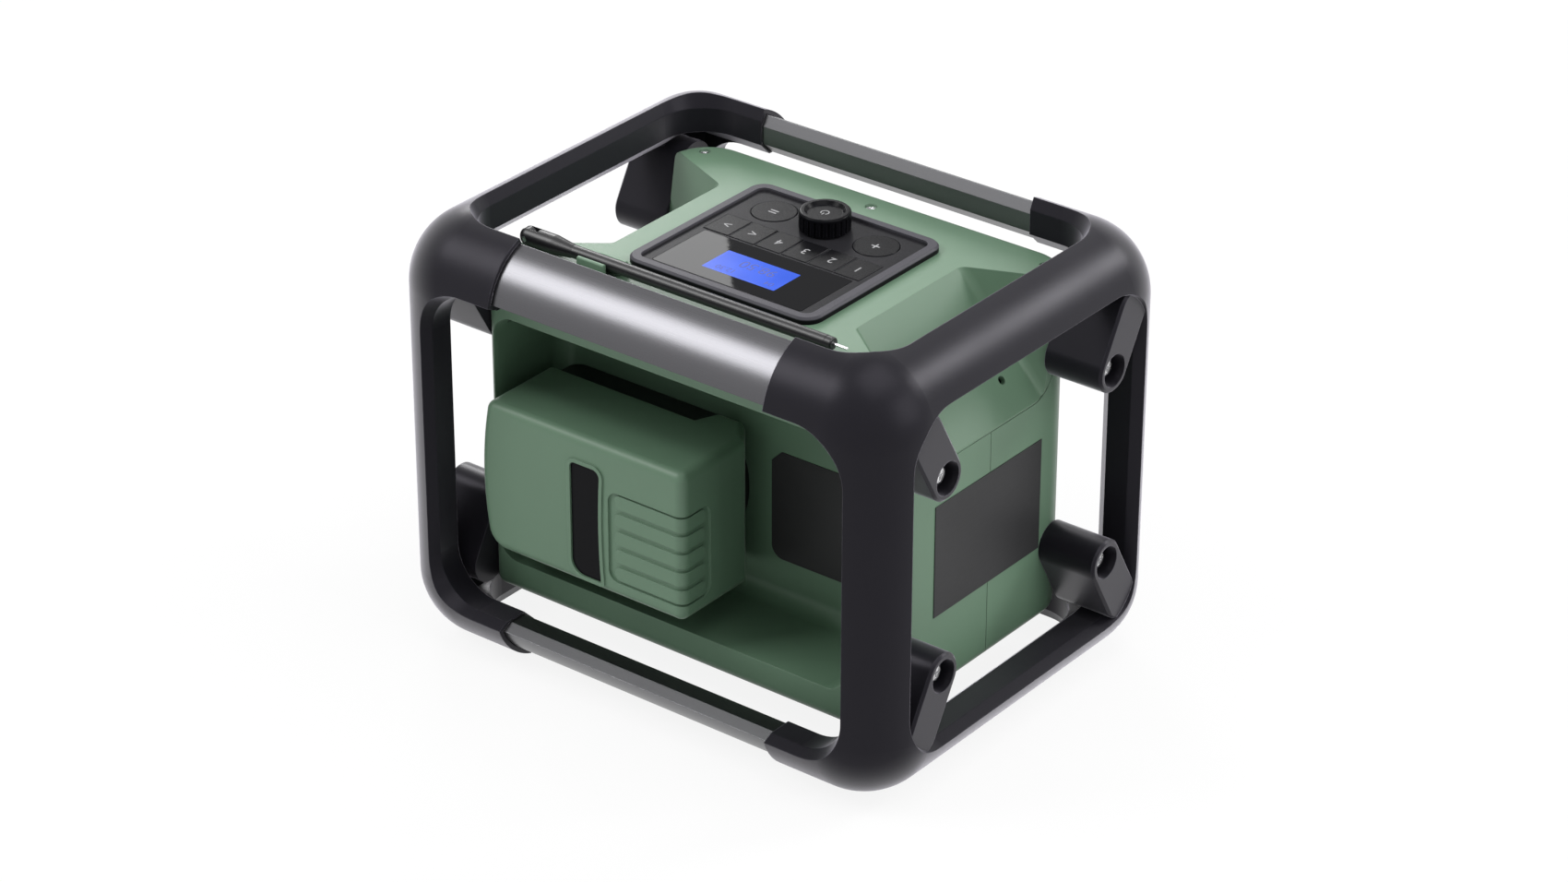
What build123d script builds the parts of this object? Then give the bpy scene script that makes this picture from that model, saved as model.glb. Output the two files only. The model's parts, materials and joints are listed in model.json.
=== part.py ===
"""Jobsite radio: a hollow casing hung in a cage of two end frames and four bars.

Millimetres, +Z up, origin under the middle of the cage on the plane it stands on.
The speakers face -Y, the battery bay and the carry handle are on the +Y side.
"""
from build123d import *
import math
import os

os.makedirs("parts", exist_ok=True)

# ---- cage ----
CAGE_WIDTH = 304.0
CAGE_DEPTH = 237.0
CAGE_HEIGHT = 232.0
CAGE_EDGE_R = 38.0
STAND_TRIM = 1.6           # cut off the lowest ridges, so that the cage stands on flats
RAIL = 28.0                # outer face to the flat inside a rail
RAIL_BEVEL_DEPTH = 8.0     # from the crown down to where the flared window edge starts
RAIL_BEVEL_SLOPE = 0.48    # sideways flare per millimetre outwards
CORE_CHAMFER = 7.0         # inner corner of each rail
WINDOW_R = 24.0            # corner radius of every window
STUB_REACH = 70.0          # end face to socket mouth, along X
SOCKET_DEPTH = 18.0
SOCKET_CLEARANCE = 0.25
BAR_INSET = 2.5            # bar's curved face below the frame's
BAR_WALL_INSET = 1.2       # bar's flats inside the frame's
BAR_BEVEL_DEPTH = 11.0     # where a bar's flats turn outwards
HANDLE_DROP = 5.5          # rear rail's lower edge, and the handle's, below the other rails'
HANDLE_SLOPE = 0.25        # handle's flare on the top window's side

# ---- casing, hung inside the rails ----
SIDE_GAP = 7.0             # rail flat to casing, along X
FRONT_GAP = 4.5
REAR_GAP = 11.0
CASING_PROUD = 4.0         # casing passes the rail flats by this, top and bottom
WALL = 3.0
FRONT_CORNER_R = 24.0
REAR_CORNER_R = 6.0
CASING_EDGE_R = 5.0
SEAM_GAP = 0.4
FRONT_SHELL_DEPTH = 73.0   # front face to the seam with the rear casing
TOP_SEAM_DROP = 60.5       # top seam below the casing's top
TOP_SEAM_INSET = 22.0      # front face to where the top seam turns up
TOP_SEAM_R = 17.0
FRONT_SEAM_DROP = 22.0     # top seam across the front face
SCOOP_TOP_INSET = 44.0     # side face to where the finger scoop starts on the top
SCOOP_TOP_ENDS = (39.0, 43.5)      # front and rear face to the scoop, at its start on the top
SCOOP_SPREAD_ENDS = (30.0, 30.5)   # the same, where its sides have spread
SCOOP_SPREAD_X = (21.0, 17.0)      # how far out that is
SCOOP_LOW_ENDS = (30.0, 48.5)      # the same, at the side seam
SCOOP_VALLEY_R = 5.0
SCOOP_HOLE_R = 2.2
SCOOP_HOLE_INSET = 10.4    # casing side to the small hole in each slope
SCOOP_HOLE_FROM_FRONT = 50.7

# ---- mounting arms and their screws ----
ARM_FROM_SIDE = 23.5       # rail flat to screw axis, along Y
ARM_FROM_TOP = 35.6        # rail flat to screw axis, along Z
ARM_WIDTH = 23.0
ARM_REACH = 30.0
ARM_ANGLE = 60.6           # from the Y axis, towards the window's corner
ARM_FACE_INSET = 2.5       # face below the end of the cage
ARM_CHAMFER = 1.3
RECESS_R = 8.5
RECESS_DEPTH = 8.0
ARM_SCREW_HOLE_R = 2.8
ARM_SCREW_R = 2.5
ARM_SCREW_HEAD_R = 4.9
ARM_SCREW_HEAD = 3.6
ARM_SCREW_BITE = 3.6       # how far a screw reaches into the casing
ARM_PAD_R = 9.0
ARM_PAD = 2.5              # thickening inside the casing's wall
THREAD_CLEARANCE = 0.05

# ---- battery bay, pack and dock ----
BAY_LEFT_WALL = 4.0        # casing side to bay, at the pack's end
BAY_RIGHT_WALL = 15.0
BAY_FLOOR = 17.0           # casing bottom to bay floor
BAY_TOP = 33.0             # casing top to bay ceiling
BAY_DEPTH = 51.5
BAY_CORNER_R = 12.0
BAY_BACK_R = 8.0
PACK_LENGTH = 122.5
PACK_HEIGHT = 80.5
PACK_DEPTH = 47.0
PACK_SIDE_GAP = 9.0
PACK_FLOOR_GAP = 16.0
PACK_PROUD = 17.5          # pack's outer face beyond the casing's rear
PACK_EDGE_R = 5.0
PACK_LOW_R = 12.0          # lower corner of the far end
PACK_BULGE = 4.4           # far end's curve past its corners
PACK_WALL = 2.5
PACK_BASE = 3.0
HEEL_DEPTH = 15.0          # heel at the pulled end, behind the pack's back face
HEEL_SLANT = 11.5          # how far its end face leans in
HEEL_INNER = (30.5, 24.0)  # pulled end to the heel's inner face, at the pack and at the bay
HEEL_GAP = 0.8             # heel to dock
CELL_R = 9.0
CELL_LENGTH = 65.0
CELL_PITCH = 18.4
CELL_COLUMNS = 6
CELL_ROWS = 2
HOLDER = 1.6
RAIL_NECK = 34.0           # tee rail behind the pack
RAIL_HEAD = 42.0
RAIL_NECK_DEPTH = 8.0
RAIL_HEAD_DEPTH = 6.0
RAIL_CLEARANCE = 0.4
DOCK_HEIGHT = 66.0
DOCK_DROP = 7.0            # dock's top below the pack's top
DOCK_GAP = 0.4             # dock to pack base
DOCK_END = 6.0             # closed end of the dock's slot
DOCK_CORNER_R = 6.0
DOCK_BACK_R = 7.0
DOCK_FOOT = 5.6            # thickness of the foot that reaches behind the heel
DOCK_FOOT_END = 14.5       # pack's pulled end to the tip of the foot
DOCK_FOOT_R = 45.0
BLADE_LENGTH = 12.0
BLADE = 0.8
BLADE_SLOT = 1.8
BLADE_PITCH = 8.0
LATCH_LENGTH = 26.0
LATCH_WIDTH = 15.0
LATCH_PLATE = 3.6
LATCH_TRAVEL = 4.2
LATCH_CLEARANCE = 0.3
LATCH_FROM_FACE = 12.0
LATCH_FROM_DOCK = 17.0      # dock's open end to the tongue
CATCH = 5.0
TONGUE = 6.0
TONGUE_REACH = 3.2
GRIP_LENGTH = 46.0
GRIP_HEIGHT = 49.0
GRIP_WRAP = 21.0
GRIP_DROP = 23.0
GRIP_DEPTH = 1.2
GRIP_CORNER_R = 6.0
GRIP_RIB_R = 2.5
GRIP_RIBS = 5
GRIP_RIB_GAP = 2.6
GRIP_RIB_INSET = 4.0       # recess's edge to a rib's end
BADGE_WIDTH = 18.6
BADGE_HEIGHT = 61.0
BADGE_FROM_END = 53.5      # pack's far end to the badge's near edge
BADGE_DROP = 14.4
BADGE_DEPTH = 1.0
BADGE_CORNERS = (3.0, 4.0, 8.0)    # upper left, upper right and lower left
BADGE_WAIST = 1.2          # how far the right edge is drawn in at the middle
BADGE_GAP = 0.2            # plate to its recess, all round
BADGE_LIP = 2.0            # raised lip round the plate
BADGE_LIP_RISE = 0.8

# ---- control panel ----
PANEL_WIDTH = 113.0
PANEL_DEPTH = 107.0
PANEL_SHIFT = 1.25         # panel's middle ahead of the casing's
PANEL_R = 9.0
PANEL_RISE = 3.5
PANEL_RIM = 5.0
PANEL_SINK = 1.5           # face below the rim
PANEL_PLATE = 3.0
MODULE_INSET = 4.5         # sunk part inside the rim's outline
MODULE_CLEARANCE = 0.3
MODULE_WALL = 2.0
MODULE_DEPTH = 12.0        # casing top down to the control board
BOARD = 1.6
WINDOW_WIDTH = 89.5
WINDOW_DEPTH = 40.5
WINDOW_SHIFT = 25.3        # panel's middle to the window's, towards the rear
GLASS = 1.6
LEDGE = 2.5
GLASS_CLEARANCE = 0.15
DISPLAY_WIDTH = 52.0
DISPLAY_DEPTH = 30.0
DISPLAY_THICK = 3.6
KEY_COUNT = 6
KEY_PITCH = 15.8
KEY_DEPTH = 19.0
KEY_SHIFT = 6.0            # panel's middle to the row of keys, towards the front
KEY_GAP = 0.3              # key to its opening, all round
KEY_WEB = 0.5              # panel between two keys' openings
KEY_RISE = 0.3
KEY_THICK = 4.0
KEY_TRAVEL = 0.8
KEY_STEM_R = 1.8
BUTTON_R = 11.4
BUTTON_X = 31.0
DIAL_SHIFT = 31.5          # panel's middle to the knob and round buttons
SWITCH_SIZE = 6.0
SWITCH_HEIGHT = 3.5
KNOB_R = 12.8
KNOB_HEIGHT = 9.3
KNOB_LIFT = 1.1            # knob above the panel's face
KNOB_DISH = 1.6
KNOB_DISH_R = 8.6
KNOB_FLUTES = 24
KNOB_FLUTE_R = 0.7
SHAFT_R = 3.0
SHAFT_CLEARANCE = 0.06
BUSH_R = 4.5
ENCODER_SIZE = 12.0
ENCODER_HEIGHT = 6.0

# ---- antenna ----
AERIAL_FROM_PANEL = 14.0   # panel's rear edge to the antenna's axis
AERIAL_RISE = 5.5          # casing top to the antenna's axis
AERIAL_TUBE_R = 3.3
AERIAL_ROOT_R = 4.9
AERIAL_PIVOT_INSET = 15.0  # casing's side to the pivot
AERIAL_ROOT_LENGTH = 16.0
AERIAL_TAPER = 12.0
AERIAL_END_INSET = 40.0    # casing's other side to the tube's end
AERIAL_CAP = 4.0
AERIAL_ROD_R = 0.8
AERIAL_ROD_OUT = 8.0
AERIAL_ROD_IN = 60.0
AERIAL_RUN = 0.06
AERIAL_PIN_R = 1.5
TONGUE_THICK = 3.0
FORK_CLEARANCE = 0.2
CLIP_FROM_PIVOT = 42.0
CLIP_LENGTH = 16.0
CLIP_WALL = 2.4
CLIP_GAP = 0.2
CLIP_HEIGHT = 7.0
CLIP_STAGGER = 6.0         # front jaw towards the antenna's tip

# ---- speakers and grille ----
GRILLE_SIDE = 14.0         # casing's side to the grille
GRILLE_TOP = 26.0          # casing's top to the grille
GRILLE_LOW = 18.0          # casing's bottom to the grille
GRILLE_R = 18.0
GRILLE_THICK = 1.5
GRILLE_SINK = 1.0
GRILLE_SLOT = 3.0
GRILLE_SLOT_LENGTH = 22.0
GRILLE_PITCH_X = 28.0
GRILLE_PITCH_Z = 7.5
GRILLE_GAP = 2.0           # grille to baffle
SPEAKER_SIDE_GAP = 14.0    # casing's inner wall to a basket's rim
SPEAKER_MID_GAP = 4.0      # middle plane to a basket's rim
SPEAKER_FLANGE = 3.0
CONE_INSET = 10.0          # basket's rim to the cone's
CONE_DEPTH = 14.0
CONE_THICK = 1.4
CONE_GAP = 1.0
CONE_TRAVEL = 2.0
CONE_REST = 0.5            # left at each end of the cone's travel
VOICE_R = 11.0
MAGNET_R = 28.0
MAGNET_THICK = 16.0
BASKET_DEPTH = 28.0
BASKET_WALL = 2.0

# ---- boards and ports ----
POST_R = 3.5
POST_HEIGHT = 5.0
MAIN_BOARD = (120.0, 78.0)
MAIN_BOARD_RISE = 56.6     # bay floor to the board's middle
HEATSINK = (60.0, 14.0, 30.0)
POWER_BOARD = (110.0, 34.0)
POWER_BOARD_GAP = 28.0     # back of the bay's tray to the board
TRANSFORMER = (40.0, 26.0, 34.0)
PORT_FROM_FRONT = 46.0     # front face to the middle of the port bay
PORT_RISE = 75.6           # casing's bottom to the same
PORT_WIDTH = 40.0
PORT_HEIGHT = 30.0
PORT_DEPTH = 14.0
DOOR_THICK = 2.4
DOOR_LAP = 4.0
DOOR_GAP = 0.3
DOOR_PIN_R = 1.2
DOOR_PIN_GAP = 0.06
DOOR_KNUCKLE_R = 2.6
USB_A = (13.2, 5.8)
USB_C = (9.2, 4.4)
INLET = (17.0, 9.0)
USB_A_AT = (-14.0, 7.5)    # from the middle of the port bay
USB_C_AT = (-14.0, -6.5)
INLET_AT = (9.0, 0.0)
SOCKET_RIM = 1.5           # socket body round its opening
SOCKET_REACH = 12.0
SOCKET_FIT = 0.01

# ---- plates and top screws ----
PLATE_THICK = 0.4
SIDE_PLATE_HEIGHT = 60.0
SIDE_PLATE_GAPS = (0.5, 24.5)      # front and rear arm to the plate, along Y
SIDE_PLATE_DROP = 112.0    # casing top to the plate's middle
REAR_PLATE_HEIGHT = 59.0
REAR_PLATE_GAPS = (14.0, 14.0)     # bay wall to the plate, and the plate to the dock's foot
REAR_PLATE_RISE = 52.5     # bay floor to the plate's middle
TOP_SCREW_INSET = 13.0     # casing side to the screw, and the front face to the screw
TOP_SCREW_R = 1.5
TOP_SCREW_HEAD_R = 2.8
TOP_SCREW_HEAD = 2.0
TOP_SCREW_LENGTH = 14.0
TOP_BOSS_R = 4.8

# ---- planes worked out from the above ----
MID_Z = CAGE_HEIGHT / 2 - STAND_TRIM
END_X = CAGE_WIDTH / 2
FLAT_X = END_X - RAIL
FLAT_Y = CAGE_DEPTH / 2 - RAIL
FLAT_Z = CAGE_HEIGHT / 2 - RAIL
SIDE_X = FLAT_X - SIDE_GAP
FRONT_Y = -(FLAT_Y - FRONT_GAP)
REAR_Y = FLAT_Y - REAR_GAP
BASE_Z = MID_Z - FLAT_Z - CASING_PROUD
TOP_Z = MID_Z + FLAT_Z + CASING_PROUD
MOUTH_X = END_X - STUB_REACH
FACE_Z = TOP_Z + PANEL_RISE - PANEL_SINK
BOARD_TOP_Z = TOP_Z - MODULE_DEPTH
BEYOND = CAGE_WIDTH + CAGE_DEPTH + CAGE_HEIGHT

SEAM_Y = FRONT_Y + FRONT_SHELL_DEPTH
TOP_SEAM_Y = FRONT_Y + TOP_SEAM_INSET
SCOOP_TOP_Y = (FRONT_Y + SCOOP_TOP_ENDS[0], REAR_Y - SCOOP_TOP_ENDS[1])
SCOOP_SPREAD_Y = (FRONT_Y + SCOOP_SPREAD_ENDS[0], REAR_Y - SCOOP_SPREAD_ENDS[1])
SCOOP_LOW_Y = (FRONT_Y + SCOOP_LOW_ENDS[0], REAR_Y - SCOOP_LOW_ENDS[1])

PANEL_Y = (FRONT_Y + REAR_Y) / 2 - PANEL_SHIFT
WINDOW_Y = PANEL_Y + WINDOW_SHIFT
KEY_Y = PANEL_Y - KEY_SHIFT
DIAL_Y = PANEL_Y - DIAL_SHIFT

BAY_Y = REAR_Y - BAY_DEPTH
BAY_X = (-SIDE_X + BAY_RIGHT_WALL, SIDE_X - BAY_LEFT_WALL)
BAY_Z = (BASE_Z + BAY_FLOOR, TOP_Z - BAY_TOP)
PACK_X = (BAY_X[1] - PACK_SIDE_GAP - PACK_LENGTH, BAY_X[1] - PACK_SIDE_GAP)
PACK_Z = (BAY_Z[0] + PACK_FLOOR_GAP, BAY_Z[0] + PACK_FLOOR_GAP + PACK_HEIGHT)
PACK_Y = (REAR_Y + PACK_PROUD - PACK_DEPTH, REAR_Y + PACK_PROUD)
PACK_MID_Z = (PACK_Z[0] + PACK_Z[1]) / 2
DOCK_Y = PACK_Y[0] - DOCK_GAP
DOCK_X = (PACK_X[0] + HEEL_INNER[0] + HEEL_GAP, PACK_X[1] + 0.5)
DOCK_TOP = PACK_Z[1] - DOCK_DROP
DOCK_LOW = DOCK_TOP - DOCK_HEIGHT
AERIAL_Y = PANEL_Y + PANEL_DEPTH / 2 + AERIAL_FROM_PANEL
AERIAL_Z = TOP_Z + AERIAL_RISE
AERIAL_PIVOT_X = SIDE_X - AERIAL_PIVOT_INSET
AERIAL_TUBE_END = -SIDE_X + AERIAL_END_INSET
CLIP_X = AERIAL_PIVOT_X - CLIP_FROM_PIVOT

GRILLE_WIDTH = 2 * (SIDE_X - GRILLE_SIDE)
GRILLE_HEIGHT = TOP_Z - BASE_Z - GRILLE_TOP - GRILLE_LOW
SPEAKER_R = (SIDE_X - WALL - SPEAKER_SIDE_GAP - SPEAKER_MID_GAP) / 2
SPEAKER_X = SPEAKER_MID_GAP + SPEAKER_R
SPEAKER_Z = BASE_Z + GRILLE_LOW + GRILLE_HEIGHT / 2
CONE_R = SPEAKER_R - CONE_INSET
MAIN_BOARD_Z = BAY_Z[0] + MAIN_BOARD_RISE
PORT_Y = FRONT_Y + PORT_FROM_FRONT
PORT_Z = BASE_Z + PORT_RISE


def block(x, y, z):
    """A box between two limits on each axis."""
    size = [limits[1] - limits[0] for limits in (x, y, z)]
    middle = [(limits[1] + limits[0]) / 2 for limits in (x, y, z)]
    return Pos(*middle) * Box(*size)


def rod(radius, start, end):
    """A cylinder from one point to another."""
    start, end = Vector(start), Vector(end)
    along = end - start
    base = Plane(origin=start, z_dir=along.normalized())
    return extrude(base * Circle(radius), along.length)


def prism(plane, sketch, low, high):
    """A sketch on a plane, extruded between two distances along its normal."""
    return extrude(plane.offset(low) * sketch, high - low)


def rounded(width, height, radius):
    return RectangleRounded(width, height, radius)


def mirrored(part, plane=Plane.YZ):
    return mirror(part, about=plane)


def save(part, name):
    solids = part.solids()
    part = Compound(children=list(solids)) if len(solids) > 1 else solids[0]
    part.label = name
    export_step(part, f"parts/{name}.step")


# ---- cage ----
def cage_outer():
    body = Pos(0, 0, MID_Z) * Box(CAGE_WIDTH, CAGE_DEPTH, CAGE_HEIGHT)
    return fillet(body.edges(), CAGE_EDGE_R)


def cage_core():
    grow = 2 * CORE_CHAMFER
    core = Pos(0, 0, MID_Z) * Box(2 * FLAT_X + grow, 2 * FLAT_Y + grow, 2 * FLAT_Z + grow)
    return chamfer(core.edges(), CORE_CHAMFER)


def window_cut(plane, width, height, reach):
    """One straight window with an edge that flares towards both outer faces."""
    cut = prism(plane, rounded(width, height, WINDOW_R), -reach - 5, reach + 5)
    start = reach - RAIL_BEVEL_DEPTH
    flare = RAIL_BEVEL_SLOPE * (RAIL_BEVEL_DEPTH + 2)
    wide = rounded(width + 2 * flare, height + 2 * flare, WINDOW_R + flare)
    for side in (1, -1):
        near = plane.offset(side * start) * rounded(width, height, WINDOW_R)
        far = plane.offset(side * (reach + 2)) * wide
        cut += loft([near.faces()[0], far.faces()[0]], ruled=True)
    return cut


def cage():
    middle = (0, 0, MID_Z)
    side = Plane(origin=middle, x_dir=(0, 1, 0), z_dir=(1, 0, 0))
    rear = Plane(origin=middle, x_dir=(1, 0, 0), z_dir=(0, -1, 0))
    top = Plane(origin=middle, x_dir=(1, 0, 0), z_dir=(0, 0, 1))
    body = cage_outer() - cage_core()
    body -= window_cut(side, 2 * FLAT_Y, 2 * FLAT_Z, END_X)
    low = Plane(origin=(0, 0, MID_Z - HANDLE_DROP / 2), x_dir=(1, 0, 0), z_dir=(0, -1, 0))
    wide = (-BEYOND, BEYOND)
    body -= window_cut(rear, 2 * FLAT_X, 2 * FLAT_Z, CAGE_DEPTH / 2) & block(wide, (-BEYOND, 0), wide)
    body -= window_cut(low, 2 * FLAT_X, 2 * FLAT_Z - HANDLE_DROP, CAGE_DEPTH / 2) & block(wide, (0, BEYOND), wide)
    body -= window_cut(top, 2 * FLAT_X, 2 * FLAT_Y, CAGE_HEIGHT / 2)
    return body


def bevel_tip(radius, flat, slope):
    """Where a bar's bevel meets its curved face: how far out, and how far across."""
    start = flat - slope * (CAGE_EDGE_R - BAR_BEVEL_DEPTH)
    a, b, c = 1 + slope ** 2, slope * start, start ** 2 - radius ** 2
    out = (-b + math.sqrt(b ** 2 - a * c)) / a
    return out, start + slope * out


def bar_section(name, grow=0.0):
    """Bar outline in a corner's own axes, from the centre of the cage's edge radius."""
    handle = name == "carry_handle"
    radius = CAGE_EDGE_R - BAR_INSET + grow
    flat = CAGE_EDGE_R - RAIL + BAR_WALL_INSET - grow
    low = flat - (HANDLE_DROP if handle else 0)
    corner = 2 * (CAGE_EDGE_R - RAIL) + CORE_CHAMFER + (BAR_WALL_INSET - grow) * math.sqrt(2)
    turn = CAGE_EDGE_R - BAR_BEVEL_DEPTH
    top_out, top_across = bevel_tip(radius, flat, HANDLE_SLOPE if handle else RAIL_BEVEL_SLOPE)
    low_out, low_across = bevel_tip(radius, low, RAIL_BEVEL_SLOPE)
    middle = radius / math.sqrt(2)
    outline = Polyline((top_across, top_out), (flat, turn), (flat, corner - flat),
                       (corner - low, low), (turn, low), (low_out, low_across))
    outline += ThreePointArc((low_out, low_across), (middle, middle), (top_across, top_out))
    return make_face(outline)


def corner_plane(side_y, side_z):
    """Section plane of the bar at one edge; its x points out along Y, its y along Z."""
    centre = (0, side_y * (CAGE_DEPTH / 2 - CAGE_EDGE_R), MID_Z + side_z * (CAGE_HEIGHT / 2 - CAGE_EDGE_R))
    return Plane(origin=centre, x_dir=(0, side_y, 0), z_dir=(side_y * side_z, 0, 0))


CORNERS = {"carry_handle": (1, 1), "front_top_bar": (-1, 1),
           "rear_bottom_bar": (1, -1), "front_bottom_bar": (-1, -1)}


def bars():
    reach = MOUTH_X + SOCKET_DEPTH - SOCKET_CLEARANCE
    return {name: prism(corner_plane(*corner), bar_section(name), -reach, reach)
            for name, corner in CORNERS.items()}


def end_frame():
    """The +X end frame, with its four bar sockets."""
    frame = cage() & block((MOUTH_X, END_X + 1), (-CAGE_DEPTH, CAGE_DEPTH), (0, CAGE_HEIGHT + 1))
    reach = MOUTH_X + SOCKET_DEPTH
    for name, corner in CORNERS.items():
        frame -= prism(corner_plane(*corner), bar_section(name, SOCKET_CLEARANCE), -reach, reach)
    return frame


# ---- mounting arms ----
ARM_SPOTS = [(sy, sz) for sy in (-1, 1) for sz in (-1, 1)]
ARM_FACE_X = END_X - ARM_FACE_INSET


def arm_axis(side_y, side_z):
    return (side_y * (FLAT_Y - ARM_FROM_SIDE), MID_Z + side_z * (FLAT_Z - ARM_FROM_TOP))


def mount_arm(side_y, side_z, frame):
    y, z = arm_axis(side_y, side_z)
    angle = math.radians(ARM_ANGLE)
    far = (ARM_REACH * side_y * math.cos(angle), ARM_REACH * side_z * math.sin(angle))
    tilt = math.degrees(math.atan2(far[1], far[0]))
    end = Plane(origin=(0, y, z), x_dir=(0, 1, 0), z_dir=(1, 0, 0))
    outline = Rot(0, 0, tilt) * (Pos(ARM_REACH / 2, 0) * Rectangle(ARM_REACH, ARM_WIDTH)
                                 + Circle(ARM_WIDTH / 2) + Pos(ARM_REACH, 0) * Circle(ARM_WIDTH / 2))
    arm = prism(end, outline, SIDE_X, ARM_FACE_X)
    arm = chamfer(arm.faces().sort_by(Axis.X)[-1].edges(), ARM_CHAMFER)
    arm -= prism(end, Circle(RECESS_R), ARM_FACE_X - RECESS_DEPTH, ARM_FACE_X + 1)
    arm -= prism(end, Circle(ARM_SCREW_HOLE_R), SIDE_X - 1, ARM_FACE_X)
    arm -= frame
    return max(arm.solids(), key=lambda s: s.volume)


def cross_slot(radius, depth, plane):
    """Phillips slot, sunk from a screw head's face."""
    slot = prism(plane, Rectangle(2 * radius, 0.9), -depth, 1)
    return slot + prism(plane, Rectangle(0.9, 2 * radius), -depth, 1)


def arm_screw(side_y, side_z):
    y, z = arm_axis(side_y, side_z)
    seat = ARM_FACE_X - RECESS_DEPTH
    end = Plane(origin=(0, y, z), x_dir=(0, 1, 0), z_dir=(1, 0, 0))
    head = prism(end, Circle(ARM_SCREW_HEAD_R), seat, seat + ARM_SCREW_HEAD)
    head = fillet(head.faces().sort_by(Axis.X)[-1].edges(), 1.4)
    head -= cross_slot(2.6, 1.6, end.offset(seat + ARM_SCREW_HEAD))
    return head + prism(end, Circle(ARM_SCREW_R), SIDE_X - ARM_SCREW_BITE, seat)


def arm_holes(grow):
    """Thread holes in the casing for all eight arm screws."""
    holes = []
    for side_y, side_z in ARM_SPOTS:
        y, z = arm_axis(side_y, side_z)
        holes.append(rod(ARM_SCREW_R + grow, (-SIDE_X - 1, y, z), (-SIDE_X + ARM_SCREW_BITE + 1, y, z)))
        holes.append(rod(ARM_SCREW_R + grow, (SIDE_X + 1, y, z), (SIDE_X - ARM_SCREW_BITE - 1, y, z)))
    return holes


# ---- casing ----
def casing_block(inset):
    """The casing's rounded block, or the space inside it at a wall's thickness."""
    width = 2 * (SIDE_X - inset)
    front, rear = FRONT_Y + inset, REAR_Y - inset
    outline = Pos(0, (front + rear) / 2) * Rectangle(width, rear - front)
    corners = outline.vertices().sort_by(Axis.Y)
    outline = fillet(corners[:2], FRONT_CORNER_R - inset)
    outline = fillet(outline.vertices().sort_by(Axis.Y)[-2:], max(REAR_CORNER_R - inset, 1.0))
    body = prism(Plane.XY, outline, BASE_Z + inset, TOP_Z - inset)
    edge = CASING_EDGE_R - inset
    ends = body.faces().sort_by(Axis.Z)
    return fillet(ends[0].edges() + ends[-1].edges(), edge) if edge > 0.5 else body


def plane_through(points, towards, shift):
    """Plane through three points with its normal towards a fourth, shifted against that normal."""
    a, b, c = (Vector(*p) for p in points)
    normal = (b - a).cross(c - a).normalized()
    if normal.dot(Vector(*towards) - a) < 0:
        normal = -normal
    return Plane(origin=a - normal * shift, z_dir=normal)


def scoop(side, shift):
    """Finger scoop that slopes from the top down to the side seam."""
    top_x = SIDE_X - SCOOP_TOP_INSET
    seam_z = TOP_Z - TOP_SEAM_DROP + 1.0
    inside = (SIDE_X, 0, TOP_Z + 10)
    cut = block((0, SIDE_X + 20), (FRONT_Y - 10, REAR_Y + 10), (BASE_Z, TOP_Z + 20))
    limits = [((top_x, 0, TOP_Z), (top_x, 10, TOP_Z), (SIDE_X, 0, seam_z))]
    for i in (0, 1):
        limits.append(((top_x, SCOOP_TOP_Y[i], TOP_Z),
                       (top_x + SCOOP_SPREAD_X[i], SCOOP_SPREAD_Y[i], TOP_Z),
                       (SIDE_X, SCOOP_LOW_Y[i], seam_z)))
    for points in limits:
        cut = split(cut, bisect_by=plane_through(points, inside, shift), keep=Keep.TOP)
    valleys = [Vector(SIDE_X - top_x, low - high, seam_z - TOP_Z).normalized()
               for high, low in zip(SCOOP_TOP_Y, SCOOP_LOW_Y)]
    edges = [edge for edge in cut.edges() if any(abs((edge % 0.5).dot(way)) > 0.9999 for way in valleys)]
    cut = fillet(edges, SCOOP_VALLEY_R + shift)
    return cut if side > 0 else mirrored(cut)


def bay_room(grow):
    """The battery bay as a plain rounded room, grown all round but for its open side."""
    width = BAY_X[1] - BAY_X[0] + 2 * grow
    height = BAY_Z[1] - BAY_Z[0] + 2 * grow
    rear = Plane(origin=((BAY_X[0] + BAY_X[1]) / 2, REAR_Y, (BAY_Z[0] + BAY_Z[1]) / 2),
                 x_dir=(-1, 0, 0), z_dir=(0, 1, 0))
    out = 20 if grow == 0 else -0.5
    box = prism(rear, rounded(width, height, BAY_CORNER_R + grow), -BAY_DEPTH - grow, out)
    back = box.faces().sort_by(Axis.Y)[0]
    return fillet(back.edges(), BAY_BACK_R + grow)


def scoops(shift):
    """Both scoops; the one beside the bay's thin wall gives way to the bay."""
    beside = scoop(1, shift) - bay_room(2 * WALL + SEAM_GAP - shift)
    return beside + scoop(-1, shift)


def scoop_holes():
    """A small hole square through each slope."""
    slope = Vector(SCOOP_TOP_INSET, 0, 1.0 - TOP_SEAM_DROP).normalized()
    y = FRONT_Y + SCOOP_HOLE_FROM_FRONT
    drop = (SCOOP_TOP_INSET - SCOOP_HOLE_INSET) * (TOP_SEAM_DROP - 1.0) / SCOOP_TOP_INSET
    spot = Vector(SIDE_X - SCOOP_HOLE_INSET, y, TOP_Z - drop)
    out = Vector(-slope.Z, 0, slope.X) * (2 * WALL)
    hole = rod(SCOOP_HOLE_R, spot - out, spot + out)
    return hole + mirrored(hole)


def casing_skin():
    outer = casing_block(0) - scoops(0)
    inner = casing_block(WALL) - scoops(WALL)
    return outer - inner - scoop_holes()


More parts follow.
